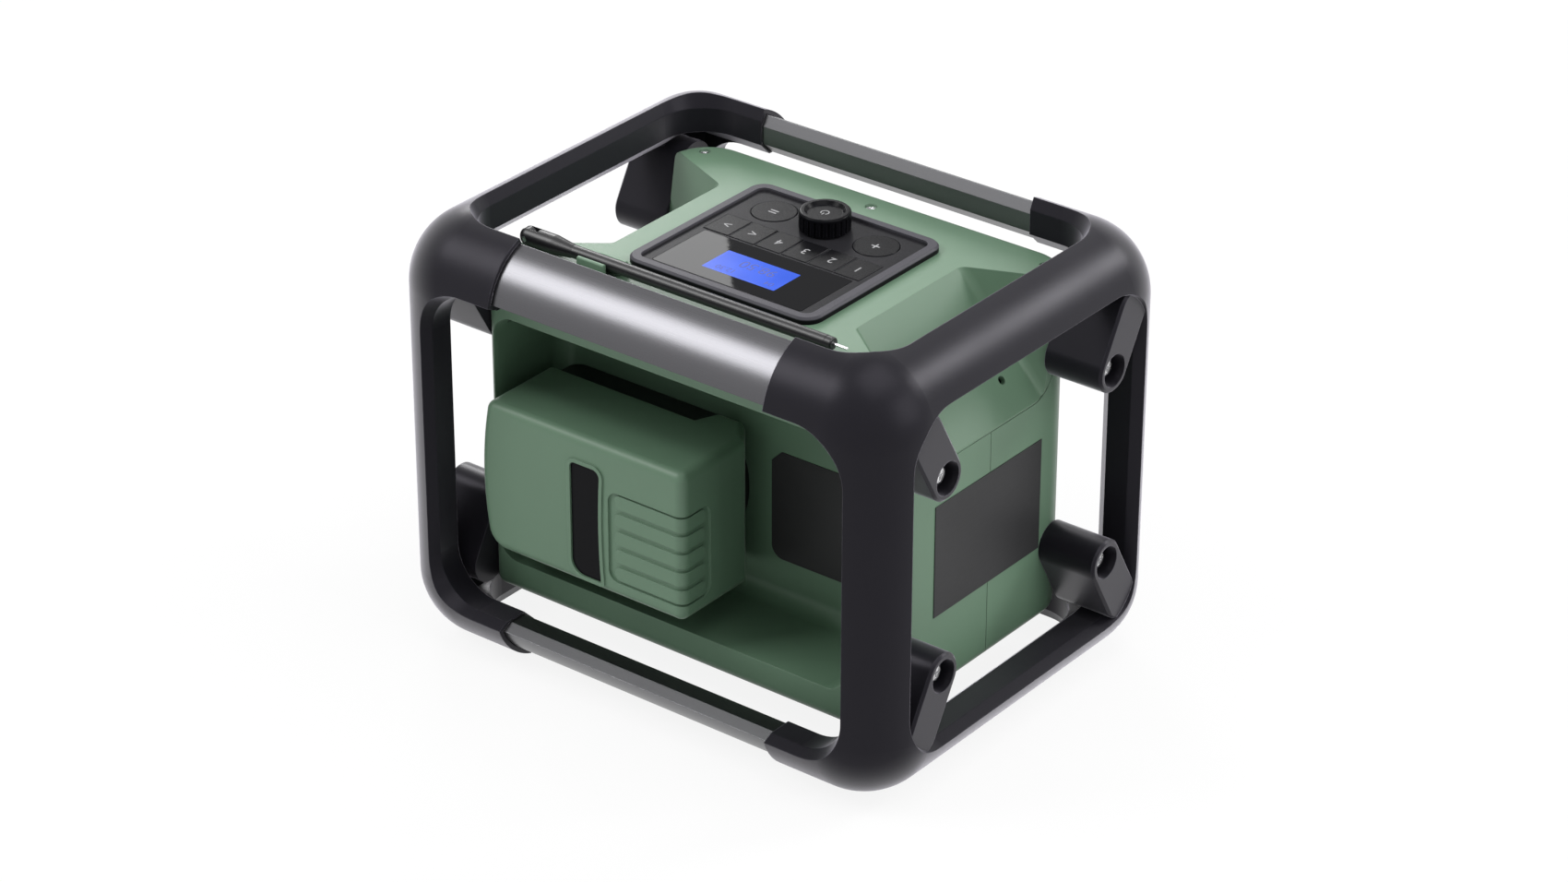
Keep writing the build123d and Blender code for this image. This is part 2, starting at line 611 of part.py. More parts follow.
def top_region(gap):
    """Everything above the top seam, grown by half the seam's gap."""
    low = TOP_Z - TOP_SEAM_DROP - gap / 2
    turn = TOP_SEAM_Y - gap / 2
    front = TOP_Z - FRONT_SEAM_DROP - gap / 2
    r = TOP_SEAM_R
    k = r * (1 - math.sqrt(0.5))
    rear = REAR_Y - CASING_EDGE_R + gap / 2
    lines = Polyline((rear, low), (turn + r, low))
    lines += ThreePointArc((turn + r, low), (turn + k, low + k), (turn, low + r))
    lines += Polyline((turn, low + r), (turn, front), (FRONT_Y - 20, front), (FRONT_Y - 20, TOP_Z + 20),
                      (rear, TOP_Z + 20), (rear, low))
    side = Plane(origin=(0, 0, 0), x_dir=(0, 1, 0), z_dir=(1, 0, 0))
    return prism(side, make_face(lines), -SIDE_X - 20, SIDE_X + 20)


def bay(grow):
    """Battery bay, open to the rear; grown by the wall for the tray around it."""
    return bay_room(grow) - scoop(-1, 2 * WALL + SEAM_GAP - grow)


def shell_zones():
    """Everything before and behind the seam between the front and rear casings."""
    wide = (-BEYOND, BEYOND)
    return (block(wide, (-BEYOND, SEAM_Y - SEAM_GAP / 2), wide),
            block(wide, (SEAM_Y + SEAM_GAP / 2, BEYOND), wide))


def casings():
    skin = casing_skin()
    top_zone, top_zone_wide = top_region(-SEAM_GAP), top_region(SEAM_GAP)
    front_zone, rear_zone = shell_zones()
    hollow = bay(0)
    tray = (bay(WALL) & casing_block(0.2)) - hollow

    front = (skin & front_zone) - top_zone_wide
    rear = (skin & rear_zone) - top_zone_wide - hollow + tray
    top = (skin & top_zone) - bay(WALL + SEAM_GAP / 2)

    pads = []
    for side_x in (-1, 1):
        for side_y, side_z in ARM_SPOTS:
            if side_x > 0 and side_y > 0:
                continue
            y, z = arm_axis(side_y, side_z)
            pad = rod(ARM_PAD_R, (side_x * (SIDE_X - WALL + 0.5), y, z), (side_x * (SIDE_X - WALL - ARM_PAD), y, z))
            pads.append((side_y, side_z, pad & casing_block(1.0)))
    for side_y, side_z, pad in pads:
        if side_y < 0:
            front += pad - top_zone_wide
        elif side_z > 0:
            top += (pad & top_zone) - bay(WALL + SEAM_GAP / 2)
        else:
            rear += pad
    for hole in arm_holes(THREAD_CLEARANCE):
        front, rear, top = front - hole, rear - hole, top - hole
    return front, rear, top


def top_screw_spots():
    edge_x, edge_y = SIDE_X - TOP_SCREW_INSET, FRONT_Y + TOP_SCREW_INSET
    return [(-edge_x, edge_y), (0, edge_y), (edge_x, edge_y)]


def finish_top(top):
    """Opening for the control module, antenna clip, and the three screw seats."""
    module = rounded(PANEL_WIDTH - 2 * MODULE_INSET + 2 * MODULE_CLEARANCE,
                     PANEL_DEPTH - 2 * MODULE_INSET + 2 * MODULE_CLEARANCE, PANEL_R - 2)
    top -= prism(Plane.XY, Pos(0, PANEL_Y) * module, TOP_Z - WALL - 1, TOP_Z + 1)
    inner = AERIAL_TUBE_R + CLIP_GAP
    for side in (-1, 1):
        limits = sorted((AERIAL_Y + side * inner, AERIAL_Y + side * (inner + CLIP_WALL)))
        middle = CLIP_X - (CLIP_STAGGER if side < 0 else 0)
        jaw = block((middle - CLIP_LENGTH / 2, middle + CLIP_LENGTH / 2), limits,
                    (TOP_Z - 1, TOP_Z + CLIP_HEIGHT))
        jaw = fillet(jaw.edges().filter_by(Axis.X).sort_by(Axis.Z)[-2:], CLIP_WALL / 2 - 0.2)
        top += jaw
    for x, y in top_screw_spots():
        top += rod(TOP_SCREW_HEAD_R + 1.6, (x, y, TOP_Z - WALL - 2.5), (x, y, TOP_Z - 1))
        top -= rod(TOP_SCREW_HEAD_R + 0.3, (x, y, TOP_Z - TOP_SCREW_HEAD - 1.0), (x, y, TOP_Z + 1))
        top -= rod(TOP_SCREW_R + 0.3, (x, y, TOP_Z - WALL - 5), (x, y, TOP_Z))
    return top


def front_bosses(front):
    """Posts that take the top screws, tied to the front wall."""
    seat = TOP_Z - WALL - 2.5 - SEAM_GAP / 2
    web_top = TOP_Z - FRONT_SEAM_DROP - SEAM_GAP
    low = web_top - 12.0
    limit = casing_block(WALL - 0.5)
    for x, y in top_screw_spots():
        boss = rod(TOP_BOSS_R, (x, y, low), (x, y, seat))
        boss += block((x - 1.5, x + 1.5), (FRONT_Y, y), (low, web_top))
        boss = boss & limit
        boss -= rod(TOP_SCREW_R + THREAD_CLEARANCE, (x, y, low + 1), (x, y, seat + 1))
        front += boss
    return front


def top_screw(x, y):
    seat = TOP_Z - TOP_SCREW_HEAD - 1.0
    head = rod(TOP_SCREW_HEAD_R, (x, y, seat), (x, y, seat + TOP_SCREW_HEAD))
    head -= cross_slot(1.7, 1.1, Plane(origin=(x, y, seat + TOP_SCREW_HEAD)))
    return head + rod(TOP_SCREW_R, (x, y, seat - TOP_SCREW_LENGTH), (x, y, seat))


# ---- speakers and grille ----
GRILLE_FRONT = FRONT_Y + GRILLE_SINK
GRILLE_BACK = GRILLE_FRONT + GRILLE_THICK
BAFFLE_Y = GRILLE_BACK + GRILLE_GAP
BAFFLE_BACK = BAFFLE_Y + WALL
FACING = Plane(origin=(0, 0, SPEAKER_Z), x_dir=(1, 0, 0), z_dir=(0, -1, 0))


def grille():
    plate = prism(FACING, rounded(GRILLE_WIDTH, GRILLE_HEIGHT, GRILLE_R), -GRILLE_BACK, -GRILLE_FRONT)
    columns = int((GRILLE_WIDTH - 12) // GRILLE_PITCH_X)
    rows = int((GRILLE_HEIGHT - 12) // GRILLE_PITCH_Z)
    spots = GridLocations(GRILLE_PITCH_X, GRILLE_PITCH_Z, columns, rows)
    slots = [spot * SlotOverall(GRILLE_SLOT_LENGTH, GRILLE_SLOT) for spot in spots]
    cut = extrude(FACING.offset(-GRILLE_BACK - 1) * Sketch(children=slots), GRILLE_THICK + 2)
    return plate - cut


def finish_front(front):
    """Grille seat, baffle and speaker cut-outs in the front wall."""
    margin = 0.3
    seat = rounded(GRILLE_WIDTH + 2 * margin, GRILLE_HEIGHT + 2 * margin, GRILLE_R + margin)
    baffle = rounded(GRILLE_WIDTH + 6, GRILLE_HEIGHT + 6, GRILLE_R + 3)
    front += prism(FACING, baffle, -BAFFLE_BACK, -FRONT_Y - 1) & casing_block(0.5)
    front -= prism(FACING, seat, -GRILLE_BACK, -FRONT_Y + 1)
    lip = rounded(GRILLE_WIDTH - 6, GRILLE_HEIGHT - 6, GRILLE_R - 3)
    front -= prism(FACING, lip, -BAFFLE_Y, -GRILLE_BACK + 0.1)
    for side in (-1, 1):
        x = side * SPEAKER_X
        front -= rod(CONE_R + 3, (x, FRONT_Y, SPEAKER_Z), (x, BAFFLE_BACK + 1, SPEAKER_Z))
    return front


def ring_profile(points):
    """Closed outline in a plane through the speaker's axis: radius across, depth along."""
    return make_face(Polyline(*points, points[0]))


def speaker(side):
    """Basket with magnet, and the cone that moves in it."""
    x = side * SPEAKER_X
    y0 = BAFFLE_BACK
    axis = Axis((x, 0, SPEAKER_Z), (0, 1, 0))
    section = Plane(origin=(x, y0, SPEAKER_Z), x_dir=(1, 0, 0), z_dir=(0, 0, 1))
    rim, back, wall = CONE_R + CONE_GAP, BASKET_DEPTH, BASKET_WALL
    t, top = CONE_THICK, CONE_TRAVEL + CONE_REST
    throat = top + t + CONE_TRAVEL + CONE_REST
    basket = ring_profile([(rim, 0), (SPEAKER_R, 0), (SPEAKER_R, SPEAKER_FLANGE),
                           (rim + wall + 2, SPEAKER_FLANGE), (MAGNET_R - 4 + wall, back - wall),
                           (MAGNET_R, back - wall), (MAGNET_R, back + MAGNET_THICK), (0, back + MAGNET_THICK),
                           (0, back), (MAGNET_R - 4, back), (MAGNET_R - 4, back - wall),
                           (rim, throat)])
    frame = revolve(section * basket, axis, 360)
    cone = ring_profile([(0, top + CONE_DEPTH - 6), (VOICE_R - 3, top + CONE_DEPTH - 5), (VOICE_R, top + CONE_DEPTH),
                         (CONE_R, top), (CONE_R, top + t), (VOICE_R, top + CONE_DEPTH + t),
                         (VOICE_R, top + CONE_DEPTH + 4), (VOICE_R - 1, top + CONE_DEPTH + 4),
                         (VOICE_R - 1, top + CONE_DEPTH + t), (0, top + CONE_DEPTH - 6 + t)])
    return frame, revolve(section * cone, axis, 360)


# ---- control panel ----
def key_width():
    return KEY_PITCH - KEY_WEB - 2 * KEY_GAP


def key_spots():
    return [((i - (KEY_COUNT - 1) / 2) * KEY_PITCH, KEY_Y) for i in range(KEY_COUNT)]


def control_bezel():
    outline = Pos(0, PANEL_Y) * rounded(PANEL_WIDTH, PANEL_DEPTH, PANEL_R)
    body = prism(Plane.XY, outline, TOP_Z, TOP_Z + PANEL_RISE)
    body = chamfer(body.faces().sort_by(Axis.Z)[-1].edges(), 1.0)
    field = Pos(0, PANEL_Y) * rounded(PANEL_WIDTH - 2 * PANEL_RIM, PANEL_DEPTH - 2 * PANEL_RIM, PANEL_R - 4)
    body -= prism(Plane.XY, field, FACE_Z, TOP_Z + PANEL_RISE + 1)
    sunk = (PANEL_WIDTH - 2 * MODULE_INSET, PANEL_DEPTH - 2 * MODULE_INSET)
    skirt = prism(Plane.XY, Pos(0, PANEL_Y) * rounded(*sunk, PANEL_R - 2), BOARD_TOP_Z, TOP_Z)
    room = rounded(sunk[0] - 2 * MODULE_WALL, sunk[1] - 2 * MODULE_WALL, PANEL_R - 4)
    skirt -= prism(Plane.XY, Pos(0, PANEL_Y) * room, BOARD_TOP_Z - 1, FACE_Z - PANEL_PLATE)
    body += skirt

    glass = rounded(WINDOW_WIDTH + 2 * GLASS_CLEARANCE, WINDOW_DEPTH + 2 * GLASS_CLEARANCE, 1.5)
    body -= prism(Plane.XY, Pos(0, WINDOW_Y) * glass, FACE_Z - GLASS, FACE_Z + 1)
    sight = rounded(WINDOW_WIDTH - 2 * LEDGE, WINDOW_DEPTH - 2 * LEDGE, 1.0)
    body -= prism(Plane.XY, Pos(0, WINDOW_Y) * sight, FACE_Z - PANEL_PLATE - 1, FACE_Z)
    for x, y in key_spots():
        opening = Rectangle(key_width() + 2 * KEY_GAP, KEY_DEPTH + 2 * KEY_GAP)
        body -= prism(Plane.XY, Pos(x, y) * opening, FACE_Z - PANEL_PLATE - 1, FACE_Z + 1)
    for x in (-BUTTON_X, BUTTON_X):
        body -= rod(BUTTON_R + KEY_GAP, (x, DIAL_Y, FACE_Z - PANEL_PLATE - 1), (x, DIAL_Y, FACE_Z + 1))
    body -= rod(BUSH_R + 0.1, (0, DIAL_Y, FACE_Z - PANEL_PLATE - 1), (0, DIAL_Y, FACE_Z + 1))
    return body


def switch_top():
    return BOARD_TOP_Z + SWITCH_HEIGHT


def pressed_cap(cap, x, y):
    """A key's cap with the stem that reaches its switch."""
    return cap + rod(KEY_STEM_R, (x, y, switch_top() + KEY_TRAVEL + 0.1), (x, y, FACE_Z - 1))


def key(x, y):
    cap = prism(Plane.XY, Pos(x, y) * Rectangle(key_width(), KEY_DEPTH), FACE_Z + KEY_RISE - KEY_THICK, FACE_Z + KEY_RISE)
    cap = chamfer(cap.faces().sort_by(Axis.Z)[-1].edges(), 0.25)
    return pressed_cap(cap, x, y)


def round_button(x):
    cap = rod(BUTTON_R, (x, DIAL_Y, FACE_Z + KEY_RISE - KEY_THICK), (x, DIAL_Y, FACE_Z + KEY_RISE))
    cap = chamfer(cap.faces().sort_by(Axis.Z)[-1].edges(), 0.3)
    return pressed_cap(cap, x, DIAL_Y)


def control_board():
    size = (PANEL_WIDTH - 2 * MODULE_INSET, PANEL_DEPTH - 2 * MODULE_INSET)
    board = prism(Plane.XY, Pos(0, PANEL_Y) * rounded(*size, PANEL_R - 2), BOARD_TOP_Z - BOARD, BOARD_TOP_Z)
    half = SWITCH_SIZE / 2
    for x, y in key_spots() + [(-BUTTON_X, DIAL_Y), (BUTTON_X, DIAL_Y)]:
        board += block((x - half, x + half), (y - half, y + half), (BOARD_TOP_Z, switch_top()))
    return board


def display():
    """Liquid crystal module on its standoff frame, from the board up to the window's ledge."""
    top = FACE_Z - PANEL_PLATE - 0.3
    half_x, half_y = DISPLAY_WIDTH / 2, DISPLAY_DEPTH / 2
    body = block((-half_x, half_x), (WINDOW_Y - half_y, WINDOW_Y + half_y), (top - DISPLAY_THICK, top))
    for side in (-1, 1):
        leg = sorted((side * half_x, side * (half_x - 3)))
        body += block(leg, (WINDOW_Y - half_y, WINDOW_Y + half_y), (BOARD_TOP_Z, top - DISPLAY_THICK))
    return body


def display_window():
    glass = rounded(WINDOW_WIDTH, WINDOW_DEPTH, 1.5)
    return prism(Plane.XY, Pos(0, WINDOW_Y) * glass, FACE_Z - GLASS, FACE_Z + 0.1)


def encoder():
    half = ENCODER_SIZE / 2
    top = BOARD_TOP_Z + ENCODER_HEIGHT
    body = block((-half, half), (DIAL_Y - half, DIAL_Y + half), (BOARD_TOP_Z, top))
    body += rod(BUSH_R, (0, DIAL_Y, top - 1), (0, DIAL_Y, FACE_Z))
    bore_low = BOARD_TOP_Z + 2
    body -= rod(SHAFT_R + SHAFT_CLEARANCE, (0, DIAL_Y, bore_low), (0, DIAL_Y, FACE_Z + 1))
    shaft = rod(SHAFT_R, (0, DIAL_Y, bore_low + KEY_TRAVEL + 0.1), (0, DIAL_Y, FACE_Z + KNOB_LIFT + KNOB_HEIGHT - 3))
    return body, shaft


def tuning_knob():
    low, high = FACE_Z + KNOB_LIFT, FACE_Z + KNOB_LIFT + KNOB_HEIGHT
    body = rod(KNOB_R, (0, DIAL_Y, low), (0, DIAL_Y, high))
    body = fillet(body.faces().sort_by(Axis.Z)[-1].edges(), 1.2)
    dish = Pos(0, DIAL_Y, high - KNOB_DISH) * Cone(KNOB_DISH_R, KNOB_DISH_R + 2 * KNOB_DISH, 2 * KNOB_DISH,
                                                   align=(Align.CENTER, Align.CENTER, Align.MIN))
    body -= dish
    for i in range(KNOB_FLUTES):
        angle = 2 * math.pi * i / KNOB_FLUTES
        x, y = KNOB_R * math.cos(angle), DIAL_Y + KNOB_R * math.sin(angle)
        body -= rod(KNOB_FLUTE_R, (x, y, low - 1), (x, y, high - 1.8))
    return body - rod(SHAFT_R + SHAFT_CLEARANCE, (0, DIAL_Y, low - 1), (0, DIAL_Y, high - 2.7))


# ---- antenna ----
def antenna():
    y, z = AERIAL_Y, AERIAL_Z
    fork = TONGUE_THICK / 2 + FORK_CLEARANCE
    root_end = AERIAL_PIVOT_X - AERIAL_ROOT_LENGTH
    tube_start = root_end - AERIAL_TAPER
    pin_reach = AERIAL_ROOT_R - 0.6
    tail = AERIAL_PIVOT_X + AERIAL_ROOT_R

    root = rod(AERIAL_ROOT_R, (AERIAL_PIVOT_X, y, z), (root_end, y, z))
    root += Pos(AERIAL_PIVOT_X, y, z) * Sphere(AERIAL_ROOT_R)
    taper = Plane(origin=(root_end, y, z), z_dir=(-1, 0, 0))
    root += loft([(taper * Circle(AERIAL_ROOT_R)).faces()[0],
                  (taper.offset(AERIAL_TAPER) * Circle(AERIAL_TUBE_R)).faces()[0]], ruled=True)
    slot_low = AERIAL_PIVOT_X - AERIAL_ROOT_R - 1.5
    root -= block((slot_low, tail + 1), (y - fork, y + fork), (z - 10, z + 10))
    root -= rod(AERIAL_PIN_R + 0.05, (AERIAL_PIVOT_X, y - 8, z), (AERIAL_PIVOT_X, y + 8, z))
    root -= rod(AERIAL_TUBE_R - 1.0, (tube_start + 8, y, z), (tube_start - 1, y, z))

    half = TONGUE_THICK / 2
    tongue = rod(AERIAL_ROOT_R - 0.4, (AERIAL_PIVOT_X, y - half, z), (AERIAL_PIVOT_X, y + half, z))
    tongue += block((AERIAL_PIVOT_X - 3, AERIAL_PIVOT_X + 3), (y - half, y + half), (TOP_Z, z))
    foot = block((AERIAL_PIVOT_X - 4, AERIAL_PIVOT_X + 4), (y - half, y + half), (TOP_Z - WALL, TOP_Z + 0.2))
    base = tongue + foot
    base -= rod(AERIAL_PIN_R, (AERIAL_PIVOT_X, y - 8, z), (AERIAL_PIVOT_X, y + 8, z))
    pin = rod(AERIAL_PIN_R, (AERIAL_PIVOT_X, y - pin_reach, z), (AERIAL_PIVOT_X, y + pin_reach, z))

    bore = AERIAL_ROD_R + AERIAL_RUN
    tube = rod(AERIAL_TUBE_R, (tube_start, y, z), (AERIAL_TUBE_END, y, z))
    tube += rod(AERIAL_TUBE_R - 1.0, (tube_start + 7.8, y, z), (tube_start, y, z))
    tube -= rod(bore, (AERIAL_TUBE_END + AERIAL_ROD_IN + 2, y, z), (AERIAL_TUBE_END - 1, y, z))
    cap = rod(AERIAL_TUBE_R - 0.15, (AERIAL_TUBE_END, y, z), (AERIAL_TUBE_END - AERIAL_CAP, y, z))
    cap = fillet(cap.faces().sort_by(Axis.X)[0].edges(), 0.8)
    cap -= rod(bore, (AERIAL_TUBE_END + 1, y, z), (AERIAL_TUBE_END - AERIAL_CAP - 1, y, z))
    tip = AERIAL_TUBE_END - AERIAL_CAP - AERIAL_ROD_OUT
    whip = rod(AERIAL_ROD_R, (AERIAL_TUBE_END + AERIAL_ROD_IN, y, z), (tip, y, z))
    return base, pin, root, tube, cap, whip


def antenna_seat():
    """Slot in the top casing that holds the antenna's foot."""
    half = TONGUE_THICK / 2 + 0.05
    return block((AERIAL_PIVOT_X - 4.05, AERIAL_PIVOT_X + 4.05), (AERIAL_Y - half, AERIAL_Y + half),
                 (TOP_Z - WALL - 1, TOP_Z + 0.1))


# ---- battery pack ----
def pack_block(inset):
    """Pack body, with its outer face and pulled end drawn in by an inset."""
    body = block((PACK_X[0] + inset, PACK_X[1] + PACK_BULGE), (PACK_Y[0], PACK_Y[1] - inset), PACK_Z)
    radius = ((PACK_HEIGHT / 2) ** 2 + PACK_BULGE ** 2) / (2 * PACK_BULGE)
    x = PACK_X[1] + PACK_BULGE - radius
    body &= rod(radius, (x, PACK_Y[0] - 1, PACK_MID_Z), (x, PACK_Y[1] + 1, PACK_MID_Z))
    corners = body.edges().filter_by(Axis.Y).sort_by(Axis.X)
    far = corners[2:].sort_by(Axis.Z)
    body = fillet(far[0], PACK_LOW_R)
    corners = body.edges().filter_by(Axis.Y).sort_by(Axis.X)
    body = fillet(corners[:2] + corners.sort_by(Axis.Z)[-1:], PACK_EDGE_R)
    return fillet(body.faces().sort_by(Axis.Y)[-1].edges(), PACK_EDGE_R)


def rib_bands():
    """Lowest and highest Z of each grip rib."""
    top = PACK_Z[1] - GRIP_DROP
    pitch = GRIP_HEIGHT / GRIP_RIBS
    return [(top - (i + 1) * pitch + GRIP_RIB_GAP / 2, top - i * pitch - GRIP_RIB_GAP / 2) for i in range(GRIP_RIBS)]


def grip_zone(z, shrink, corner):
    """Ell that wraps the pulled end's outer corner, between two heights."""
    x0, y1 = PACK_X[0], PACK_Y[1]
    face = block((x0 - 5, x0 + GRIP_LENGTH - shrink), (y1 - 6, y1 + 5), z)
    side = block((x0 - 5, x0 + 6), (y1 - GRIP_WRAP + shrink, y1 + 5), z)
    face = fillet(face.edges().filter_by(Axis.Y).sort_by(Axis.X)[-2:], corner)
    return face + fillet(side.edges().filter_by(Axis.X).sort_by(Axis.Y)[:2], corner)


def badge_outline():
    """Plate with three rounded corners and a waisted right edge."""
    x, y = BADGE_WIDTH / 2, BADGE_HEIGHT / 2
    outline = Polyline((x, -y), (-x, -y), (-x, y), (x, y)) + ThreePointArc((x, y), (x - BADGE_WAIST, 0), (x, -y))
    outline = make_face(outline)
    for spot, radius in zip(((-x, y), (x, y), (-x, -y)), BADGE_CORNERS):
        corner = outline.vertices().filter_by(lambda v: abs(v.X - spot[0]) + abs(v.Y - spot[1]) < 0.5)
        outline = fillet(corner, radius)
    return outline


def badge_plane():
    x = PACK_X[1] - BADGE_FROM_END - BADGE_WIDTH / 2
    z = PACK_Z[1] - BADGE_DROP - BADGE_HEIGHT / 2
    return Plane(origin=(x, PACK_Y[1], z), x_dir=(-1, 0, 0), z_dir=(0, 1, 0))


LATCH_X = DOCK_X[0] + LATCH_FROM_DOCK
LATCH_LOW = PACK_Z[0]
LATCH_Y = PACK_Y[1] - LATCH_FROM_FACE
CATCH_X = LATCH_X - TONGUE / 2 - LATCH_CLEARANCE
TONGUE_Z = (LATCH_LOW + PACK_WALL + LATCH_CLEARANCE, LATCH_LOW + LATCH_PLATE + 1.8)
HOLDER_LOW = TONGUE_Z[1] + LATCH_TRAVEL + LATCH_CLEARANCE


def latch_arm(grow):
    """Arm from the button to the tongue that stops against the dock's catch."""
    half = TONGUE / 2 + grow
    return block((LATCH_X - half, LATCH_X + half), (DOCK_Y - TONGUE_REACH - grow, LATCH_Y - 1),
                 (TONGUE_Z[0] - grow, TONGUE_Z[1] + grow + (LATCH_TRAVEL if grow else 0)))


def latch_button(grow):
    half = LATCH_LENGTH / 2 + grow
    low = LATCH_LOW - (5 if grow else 0)
    return block((LATCH_X - half, LATCH_X + half), (LATCH_Y - LATCH_WIDTH - grow, LATCH_Y + grow),
                 (low, LATCH_LOW + PACK_WALL + 1.2))


def battery_latch():
    flange = block((LATCH_X - LATCH_LENGTH / 2 - 2, LATCH_X + LATCH_LENGTH / 2 + 2),
                   (LATCH_Y - LATCH_WIDTH - 2, LATCH_Y + 2),
                   (LATCH_LOW + PACK_WALL + 0.3, LATCH_LOW + LATCH_PLATE + 1.0))
    return latch_button(0) + flange + latch_arm(0)


def heel():
    """Taller end of the pack that closes the dock's open end."""
    x, y = PACK_X[0], PACK_Y[0]
    outline = Polyline((x, y), (x + HEEL_SLANT, y - HEEL_DEPTH), (x + HEEL_INNER[1], y - HEEL_DEPTH),
                       (x + HEEL_INNER[0], y), (x, y))
    body = prism(Plane.XY, make_face(outline), *PACK_Z)
    slant = body.faces().sort_by(Axis.X)[0]
    body = fillet(slant.edges().filter_by(Axis.Z).sort_by(Axis.Y)[0], PACK_EDGE_R)
    ends = body.edges().filter_by(lambda e: abs(e.center().Z - PACK_MID_Z) > PACK_HEIGHT / 2 - 1)
    outer = [e for e in ends if e.center().X < x + HEEL_SLANT and e.center().Y < y - 0.1]
    return fillet(outer, PACK_EDGE_R - 0.5)


def battery_shell():
    body = pack_block(0) + heel()
    recess = grip_zone((PACK_Z[1] - GRIP_DROP - GRIP_HEIGHT, PACK_Z[1] - GRIP_DROP), 0, GRIP_CORNER_R)
    body = (body - recess) + (pack_block(GRIP_DEPTH) & recess)
    for band in rib_bands():
        body += pack_block(0.25) & grip_zone(band, GRIP_RIB_INSET, GRIP_RIB_R)
    room = block((PACK_X[0] + PACK_WALL + GRIP_DEPTH, PACK_X[1] - PACK_WALL),
                 (PACK_Y[0] - 1, PACK_Y[1] - PACK_WALL - GRIP_DEPTH), (PACK_Z[0] + PACK_WALL, PACK_Z[1] - PACK_WALL))
    body -= room
    body += prism(badge_plane(), offset(badge_outline(), BADGE_LIP), -0.5, BADGE_LIP_RISE)
    body -= prism(badge_plane(), badge_outline(), -BADGE_DEPTH, BADGE_LIP_RISE + 1)
    return body - latch_button(LATCH_CLEARANCE)


def tee(clearance, x):
    """Tee rail behind the pack, or its slot in the dock."""
    neck, head = RAIL_NECK / 2 + clearance, RAIL_HEAD / 2 + clearance
    deep = PACK_Y[0] - RAIL_NECK_DEPTH + clearance
    back = PACK_Y[0] - RAIL_NECK_DEPTH - RAIL_HEAD_DEPTH - clearance
    rail = block(x, (deep - 0.5, PACK_Y[0] + 0.5), (PACK_MID_Z - neck, PACK_MID_Z + neck))
    return rail + block(x, (back, deep), (PACK_MID_Z - head, PACK_MID_Z + head))


def blade_heights():
    return [PACK_MID_Z + (i - 1.5) * BLADE_PITCH for i in range(4)]


RAIL_END = DOCK_X[1] - DOCK_END - RAIL_CLEARANCE


def battery_base():
    """Plate that closes the pack, with the tee rail and the tail block."""
    room = (PACK_X[0] + PACK_WALL + GRIP_DEPTH + 0.1, PACK_X[1] - PACK_WALL - 0.1)
    plate = block(room, (PACK_Y[0], PACK_Y[0] + PACK_BASE), (PACK_Z[0] + PACK_WALL + 0.1, PACK_Z[1] - PACK_WALL - 0.1))
    plate += tee(0, (DOCK_X[0], RAIL_END))
    middle = PACK_Y[0] - RAIL_NECK_DEPTH - RAIL_HEAD_DEPTH / 2
    for z in blade_heights():
        plate -= block((RAIL_END - BLADE_LENGTH - 2, RAIL_END + 1), (middle - 3.2, middle + 1.5),
                       (z - BLADE_SLOT / 2, z + BLADE_SLOT / 2))
    return plate - latch_arm(LATCH_CLEARANCE)


def battery_cells():
    start_x = (PACK_X[0] + PACK_X[1]) / 2 - (CELL_COLUMNS - 1) * CELL_PITCH / 2
    start_y = PACK_Y[0] + PACK_BASE + 0.3 + CELL_R
    low = HOLDER_LOW + HOLDER
    return [rod(CELL_R, (start_x + i * CELL_PITCH, start_y + j * CELL_PITCH, low),
                (start_x + i * CELL_PITCH, start_y + j * CELL_PITCH, low + CELL_LENGTH))
            for i in range(CELL_COLUMNS) for j in range(CELL_ROWS)]


def cell_holder():
    return block((PACK_X[0] + PACK_WALL + GRIP_DEPTH, PACK_X[1] - PACK_WALL),
                 (PACK_Y[0] + PACK_BASE, PACK_Y[1] - PACK_WALL - GRIP_DEPTH), (HOLDER_LOW, HOLDER_LOW + HOLDER))


def battery_badge():
    return prism(badge_plane(), offset(badge_outline(), -BADGE_GAP), -BADGE_DEPTH, -BADGE_GAP)


